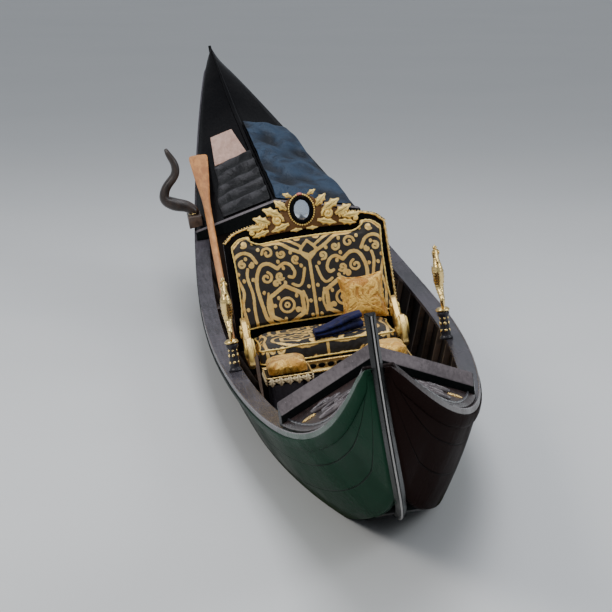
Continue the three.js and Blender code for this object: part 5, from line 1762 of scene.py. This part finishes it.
def make_oar():
    blade_end, handle = Vector((9.230, -0.292, 1.0152)), Vector((5.180, -0.376, 0.212))
    length = (blade_end - handle).length
    ahead = (blade_end - handle).normalized()
    side = ahead.cross(Vector((0, 0, 1))).normalized()
    over = side.cross(ahead).normalized()
    # Distance from the handle's end or, in the second row, from the blade's; half width, half thickness
    shaft = [(0, 0.010, 0.010), (0.006, 0.0155, 0.0155), (0.03, 0.0185, 0.0185), (0.06, 0.0165, 0.0165),
             (0.10, 0.0175, 0.0175), (0.35, 0.0195, 0.0195)]
    blade = [(1.5, 0.0238, 0.0238), (1.1, 0.0245, 0.0235), (0.86, 0.034, 0.018), (0.66, 0.045, 0.0132),
             (0.4, 0.055, 0.0102), (0.1, 0.066, 0.0076), (0.03, 0.066, 0.0066), (0.004, 0.058, 0.005),
             (0, 0.054, 0.004)]
    rows = []
    for place, wide, thin in [*shaft, *((length - back, wide, thin) for back, wide, thin in blade)]:
        row = []
        for a in turns_of(20):
            c, d = math.cos(a), math.sin(a)
            rib = 1 + 0.5 * max(0, 1 - abs(c) * 4) * min(1, max(0, (wide - 0.026) / 0.01))
            centre = handle + ahead * place
            row.append(centre + side * wide * rounded(c, 0.9) + over * thin * d * min(rib, 1.25))
        rows.append(row)
    make("oar_shaft", Shape().grid(rows), OAR_WOOD, "oar", smooth=True)


COVER_INSIDE, COVER_COLUMNS = 0.017, 30


def make_cover(name, node, start, stop, side, reach, heights, folds, material, sharp=False):
    """A cover lying in folds over half of the stern deck: heights are above the deck, inside and outside.

    Each fold is a height, the number of waves along and across, and a shift. Sharp folds have narrow
    ridges between wide hollows.
    """
    sign = SIDES[side]
    shift = 3 if side == "port" else 8
    deepest = sum(fold[0] for fold in folds)
    rows, hollows = [], []
    for hull in stations(start, stop, 0.028):
        t = (hull.s - start) / (stop - start)
        edge = deck_levels(AFTDECK, hull)[0] * reach * (1 - 0.03 * math.sin(9 * t + shift))
        row = []
        for v in (j / COVER_COLUMNS for j in range(COVER_COLUMNS + 1)):
            y = sign * lerp(COVER_INSIDE, edge, v)
            end = min(t, 1 - t, 0.5 * v + 0.06, 0.5 * (1 - v) + 0.03)
            height = lerp(heights[0], heights[1], v)
            phases = [2 * math.pi * (along_ * t + across * v) + turn for _, along_, across, turn in folds]
            waves = [math.sin(phase) for phase in phases]
            if sharp:
                ridge = (1 - abs(math.sin(0.5 * phases[0] + 0.35 * math.sin(5 * v + 2 * t)))) ** 1.6
                waves[0] = 2 * ridge - 1
            wave = sum(fold[0] * rise for fold, rise in zip(folds, waves))
            # how deep a point lies in a fold's hollow, stored as cavity: the cloth paints shade there
            hollows.append(1 - min(1.5 * ridge, 1) if sharp else min(max(-1.6 * wave / deepest, 0), 1))
            lift = height * min(1, end / 0.05) ** 0.5 - 0.006 + wave * min(1, end / 0.09)
            lift = min(max(0.009, lift), height + 0.012)
            row.append((hull.s, hull.yc + y, deck_height(AFTDECK, hull, y) + lift))
        rows.append(row)
    shape = Shape().grid(rows, closed=False)
    shape.values["cavity"] = dict(enumerate(hollows))
    piece = thicken(object_of(name, shape), 0.005)
    settle(piece, material, node)
    lengths = [distances(row)[-1] for row in rows]
    runs = [distances([row[j] for row in rows])[-1] for j in range(0, COVER_COLUMNS + 1, 5)]


def make_covers():
    make_cover("blue_deck_cover", "blue_tarp", 7.990, 9.500, "port", 0.97, (0.058, 0.038), [
        (0.013, 1.9, 0.7, 0.4), (0.009, 3.7, -1.1, 1.9), (0.006, 1.1, 2.3, 0.2), (0.004, 7.0, 1.0, 2.6)],
        TARP)
    make_cover("dark_bunched_cover", "dark_cover", 7.990, 8.950, "starboard", 0.67, (0.048, 0.030), [
        (0.018, 5.0, 0.35, 0.6), (0.004, 8.7, -0.9, 2.2), (0.003, 2.0, 2.0, 0.9)],
        DARK_COVER, sharp=True)


def make_pink_reflection_board():
    """A pale pink varnished board on the outer part of the stern deck: a painted reflection, put where the
    glossy deck shows a pink reflection.
    """
    start, stop = 8.97, 9.46
    rows = []
    for hull in stations(start, stop, 0.06):
        t = (hull.s - start) / (stop - start)
        inner, outer = lerp(-0.036, -0.072, t), lerp(-0.268, -0.226, t)
        edge = [lerp(inner, outer, k / 6) for k in range(7)]
        rows.append([hull.point(y, deck_height(AFTDECK, hull, y) + rise)
                     for rise, line in ((0.0105, edge), (0.0006, edge[::-1])) for y in line])
    make("stern_pink_reflection_board", Shape().grid(rows), PINK_REFLECTION_WOOD, bevel=0.003)


# Stage

def waterline():
    """The hull's outline at the water, drawn in the middle of its planks."""
    inset = PLANK / 2
    sides = ([], [])
    for hull in stations(1.5, 9.2, 0.05):
        heights = [lerp(hull.zb + inset, hull.zs, k / 60) for k in range(61)]
        port = [(hull.yc + max(hull.outer(z) - inset, 0), z) for z in reversed(heights)]
        girth = port + [(2 * hull.yc - y, z) for y, z in reversed(port)]
        levels = [y * math.sin(HEEL) + z * math.cos(HEEL) for y, z in girth]
        crossings = []
        for k in range(len(girth) - 1):
            if levels[k] * levels[k + 1] < 0:
                t = levels[k] / (levels[k] - levels[k + 1])
                y, z = (lerp(girth[k][axis], girth[k + 1][axis], t) for axis in range(2))
                crossings.append((MIDSHIP - hull.s, y * math.cos(HEEL) - z * math.sin(HEEL), 0))
        if len(crossings) == 2:
            for line, spot in zip(sides, crossings):
                line.append(spot)
    return sides[0] + sides[1][::-1]


FLOOR_REACH = 400


def make_floor_around():
    """The floor lies at the water's level and stops at the hull, whose inside is dry."""
    inner = waterline()
    angles = [math.atan2(y, x) for x, y, _ in inner]
    outer = [(FLOOR_REACH * math.cos(a), FLOOR_REACH * math.sin(a), 0) for a in angles]
    count = len(inner)
    mesh = bpy.data.meshes.new("floor")
    faces = [(i, (i + 1) % count, count + (i + 1) % count, count + i) for i in range(count)]
    mesh.from_pydata(inner + outer, [], faces)
    mesh.update()
    if mesh.polygons[0].normal.z < 0:
        mesh.flip_normals()

    def look(start):
        place = start.node("TexCoord", out="Object")
        tone = place.noise(0.4, 3, 0.5).tint((0.68, 0.69, 0.69), (0.74, 0.745, 0.74))
        return {"Base Color": tone, "Roughness": place.noise(1.5, 3) * 0.1 + 0.5}
    mesh.materials.append(finish_of("studio_floor", look))
    added("floor", mesh)


# Soft boxes: place, size along and across, power and colour
LAMPS = {
    "key": ((6, -9, 9), (6, 5), 720, (1, 0.96, 0.91)),
    "fill": ((5, 10, 7), (8, 4), 420, (0.94, 0.97, 1)),
    "top": ((-0.5, 0.2, 9), (15, 3.6), 640, (0.93, 0.95, 1)),
}
SKY, SKY_STRENGTH = (0.78, 0.83, 0.90, 1), 0.48


def make_light():
    world = bpy.data.worlds.new("studio")
    world.use_nodes = True
    background = world.node_tree.nodes["Background"].inputs
    background["Color"].default_value = SKY
    background["Strength"].default_value = SKY_STRENGTH
    bpy.context.scene.world = world
    for name, (place, size, power, color) in LAMPS.items():
        light = bpy.data.lights.new(name, "AREA")
        light.shape = "RECTANGLE"
        light.size, light.size_y = size
        light.energy = power
        light.color = color
        back = Vector(place).normalized()
        over = back.cross(Vector((1, 0, 0))).normalized()
        turn = Matrix((over.cross(back), over, back)).transposed().to_quaternion()
        added(name, light).matrix_world = Matrix.LocRotScale(Vector(place), turn, None)


CAMERA_AT, CAMERA_AIM, CAMERA_LENS = (15.93, -1.356, 2.93), (0.2, -0.02, 0.52), 168


def make_camera():
    """The photograph's point of view, closer in: from ahead of the bow, 3 m above the water."""
    place, aim = Vector(CAMERA_AT), Vector(CAMERA_AIM)
    data = bpy.data.cameras.new("camera")
    data.lens = CAMERA_LENS
    data.clip_end = 3 * FLOOR_REACH
    camera = added("camera", data)
    camera.location = place
    camera.rotation_mode = "QUATERNION"
    camera.rotation_quaternion = (place - aim).to_track_quat("Z", "Y")
    bpy.context.scene.camera = camera


make_planking()
make_rails()
make_bottom()
make_posts()
make_deck("foredeck", FOREDECK, FOREDECK_LACQUER)
make_deck("aftdeck", AFTDECK, DECK_LACQUER)
make_coaming("foredeck", FOREDECK)
make_coaming("aftdeck", AFTDECK)
make_aft_beading()
make_stern_end()
make_deck_carving()
make_floor()
make_lockers()
make_sofa_frame()
make_seat_rail()
make_back_carving()
make_sofa_cushions()
make_crest()
make_arms()
make_pillow()
make_blanket()
make_stools()
make_seahorses()
make_oarlock()
make_oar()
make_covers()
make_pink_reflection_board()
make_floor_around()
make_light()
make_camera()
